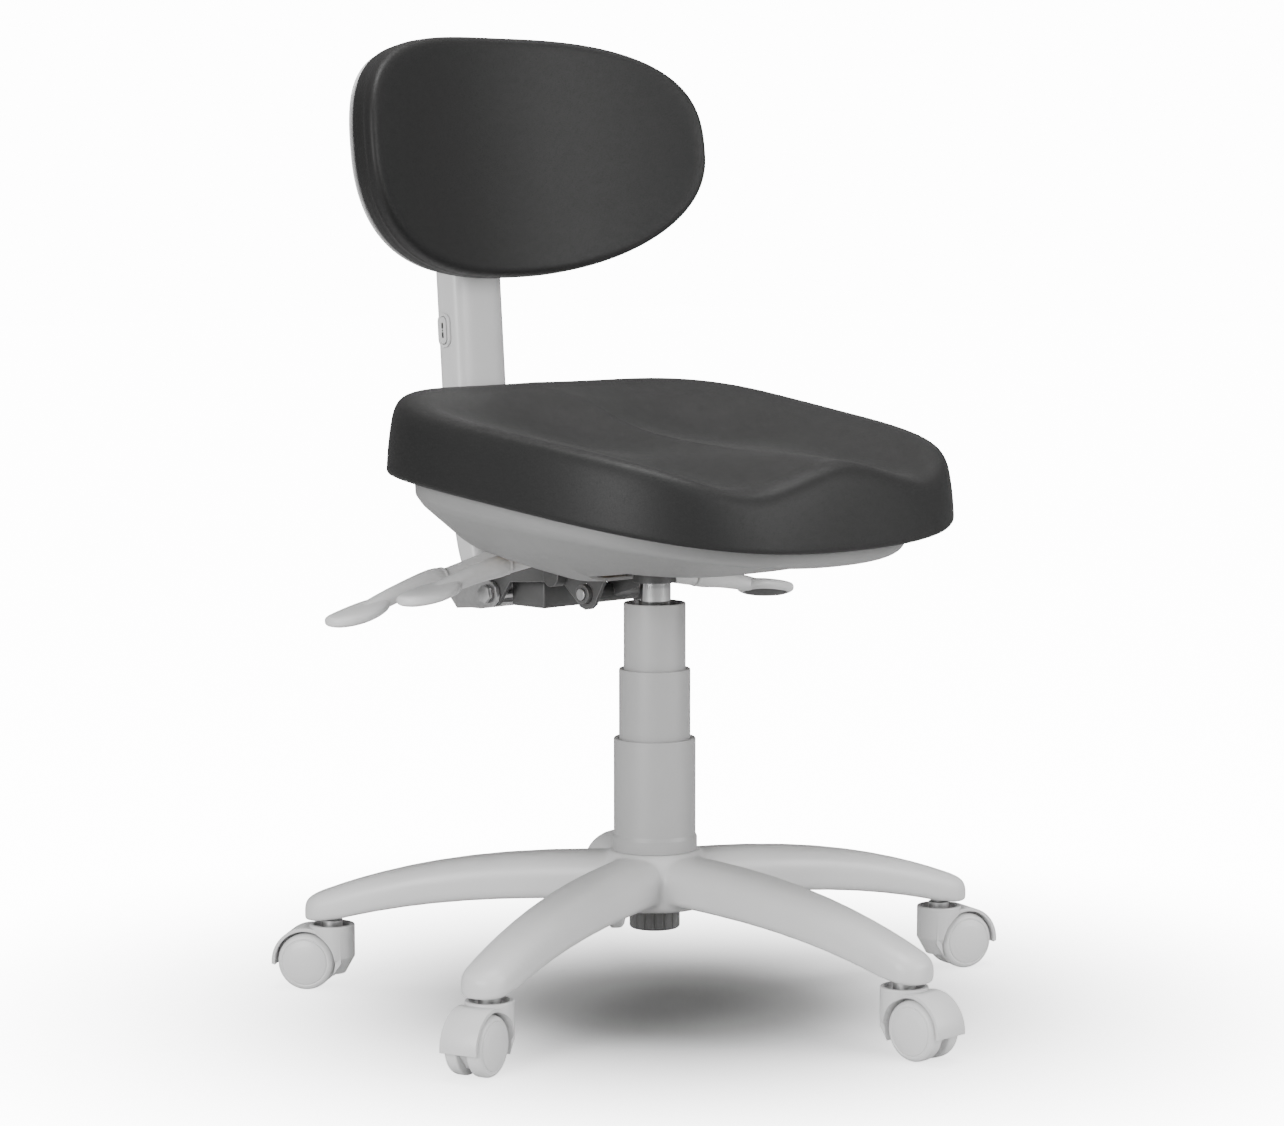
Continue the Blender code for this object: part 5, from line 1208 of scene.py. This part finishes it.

# %% [markdown]
# ## Bolts and screws
# The backrest bracket turns on a hexagon bolt with a dark washer under each head. Small screws with a cross
# recess hold the slider to the shell and the frame to the board. One screw is made as a turned head, cut by a
# cross, and copied to each place with its own direction.

# %% Hexagon bolt of the backrest bracket
def hexagon(radius, y, z, turn=0.3):
    """Six corners on a circle about (y, z)."""
    t = np.arange(6) * np.pi / 3 + turn
    return np.stack([y + radius * np.cos(t), z + radius * np.sin(t)], axis=-1)


BACK_PIVOT = (165.0, 346.0)
bolt = prism("back_pivot_hex_bolt", arc(BACK_PIVOT, 5.0, 0, 352.5, 48), -50.0, 50.0)
for side in (-1, 1):
    combine(bolt, prism("head", hexagon(8.4, *BACK_PIVOT), side * 46.4, side * 50.4), "UNION")
dress(bevelled(bolt, 0.5, 2, 30), ZINC_PLATE, "seat", "zinc", "back_pivot_bolt")
for side, word in ((-1, "right"), (1, "left")):
    ring = arc(BACK_PIVOT, 8.4, 0, 352.5, 48)
    washer = prism(f"back_pivot_washer_{word}", ring, side * 45.35, side * 46.35)
    dress(bevelled(washer, 0.25, 2, 30), DARK_STEEL, "seat", "dark_steel")
print("bolt length:", round(bolt.dimensions.x * 1000, 1), "mm")

# %% [markdown]
# ## Screws
# Small screws repeat, so one is made and copied. Their direction is the only thing that changes.

# %% Cross-recess screws
def make_screw(radius=4.2, height=2.2):
    """Domed head of revolution standing on the origin and looking along +Z, cut by two crossed slots."""
    head = turned_local("screw", rounded([(0, height), (radius * 0.6, height * 0.92), (radius, height * 0.35),
                                          (radius, -0.5), (0, -0.5)], 0.5, 4), 40)
    corners = ((-2.2, -0.45), (2.2, -0.45), (2.2, 0.45), (-2.2, 0.45))
    for turn in (0, math.pi / 2):
        slot = prism("slot", corners, height - 1.3, height + 1, axis=2, to_scene=False)
        slot.data.transform(Matrix.Rotation(turn, 4, "Z"))
        combine(head, slot)
    return head


def set_screws(name, places, direction, body, slot, material):
    """Copies of one screw at column points in mm, all looking along one direction, as a single piece."""
    turn = Vector((0, 0, 1)).rotation_difference(Vector(direction)).to_matrix().to_4x4()
    source, work = make_screw(), bmesh.new()
    for place in places:
        mesh = source.data.copy()
        mesh.transform(Matrix.Translation(Vector(from_column(place))) @ turn)
        work.from_mesh(mesh)
        bpy.data.meshes.remove(mesh)
    made = bpy.data.meshes.new(name)
    work.to_mesh(made)
    work.free()
    bpy.data.objects.remove(source, do_unlink=True)
    piece = bpy.data.objects.new(name, made)
    bpy.context.scene.collection.objects.link(piece)
    made.shade_smooth()
    made.set_sharp_from_angle(angle=math.radians(35))
    return dress(piece, material, body, slot)


def on_slider(across, up):
    """Places on the rear of the shell beside the slider, following the shell's lean."""
    sine, cosine = math.sin(PAD_LEAN), math.cos(PAD_LEAN)
    y = PAD_CENTRE[0] + SHELL_REAR * cosine + up * sine - PAD_BEND * (across / PAD_HALF[0]) ** 2
    return (across, y, PAD_CENTRE[1] - SHELL_REAR * sine + up * cosine)


lean = (0, math.cos(PAD_LEAN), -math.sin(PAD_LEAN))
shell_screws = set_screws("shell_screws", [on_slider(x, z) for x in (-47, 47) for z in (-28, 28)], lean,
                          "backrest", "zinc", ZINC_PLATE)
print("shell screws:", len(shell_screws.data.polygons), "faces")

# %% Screws under the seat
FRAME_UNDERSIDE = 421.0
slope = math.atan(SEAT_SLOPE)
down = (0, math.sin(slope), -math.cos(slope))
frame_places = [(x, y, FRAME_UNDERSIDE + SEAT_SLOPE * y) for x in (-27, 27) for y in (-84, 96)]
frame_screws = set_screws("frame_screws", frame_places, down, "seat", "zinc", ZINC_PLATE)
print("frame screws:", len(frame_screws.data.polygons), "faces")

# %% [markdown]
# ## The parts that keep their engineering shape
# Everything else is a pressed, turned or machined part, which is already the right shape. Each gets softened
# edges and its own metal or plastic.

# %% Softened parts
FINISH_OF_SLOT = {"pale_nylon": PALE_NYLON, "wheel_nylon": WHEEL_NYLON, "cover_plastic": COVER_PLASTIC,
                  "pan_plastic": PAN_PLASTIC, "black_plastic": BLACK_PLASTIC, "chrome_steel": BRIGHT_CHROME,
                  "dark_steel": DARK_STEEL, "zinc": ZINC_PLATE, "plywood": BIRCH_PLYWOOD,
                  "upholstery": CHARCOAL_VINYL}
dressed = set()
for piece in bpy.data.objects:
    dressed.update(piece.get("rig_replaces", []))
kept = [node for node in frame["nodes"] if node not in dressed]
for node in sorted(kept):
    softened(node, FINISH_OF_SLOT[slot_of_node[node]], edge=0.0 if node == "tilt_spring" else 0.4)
print("softened:", kept)
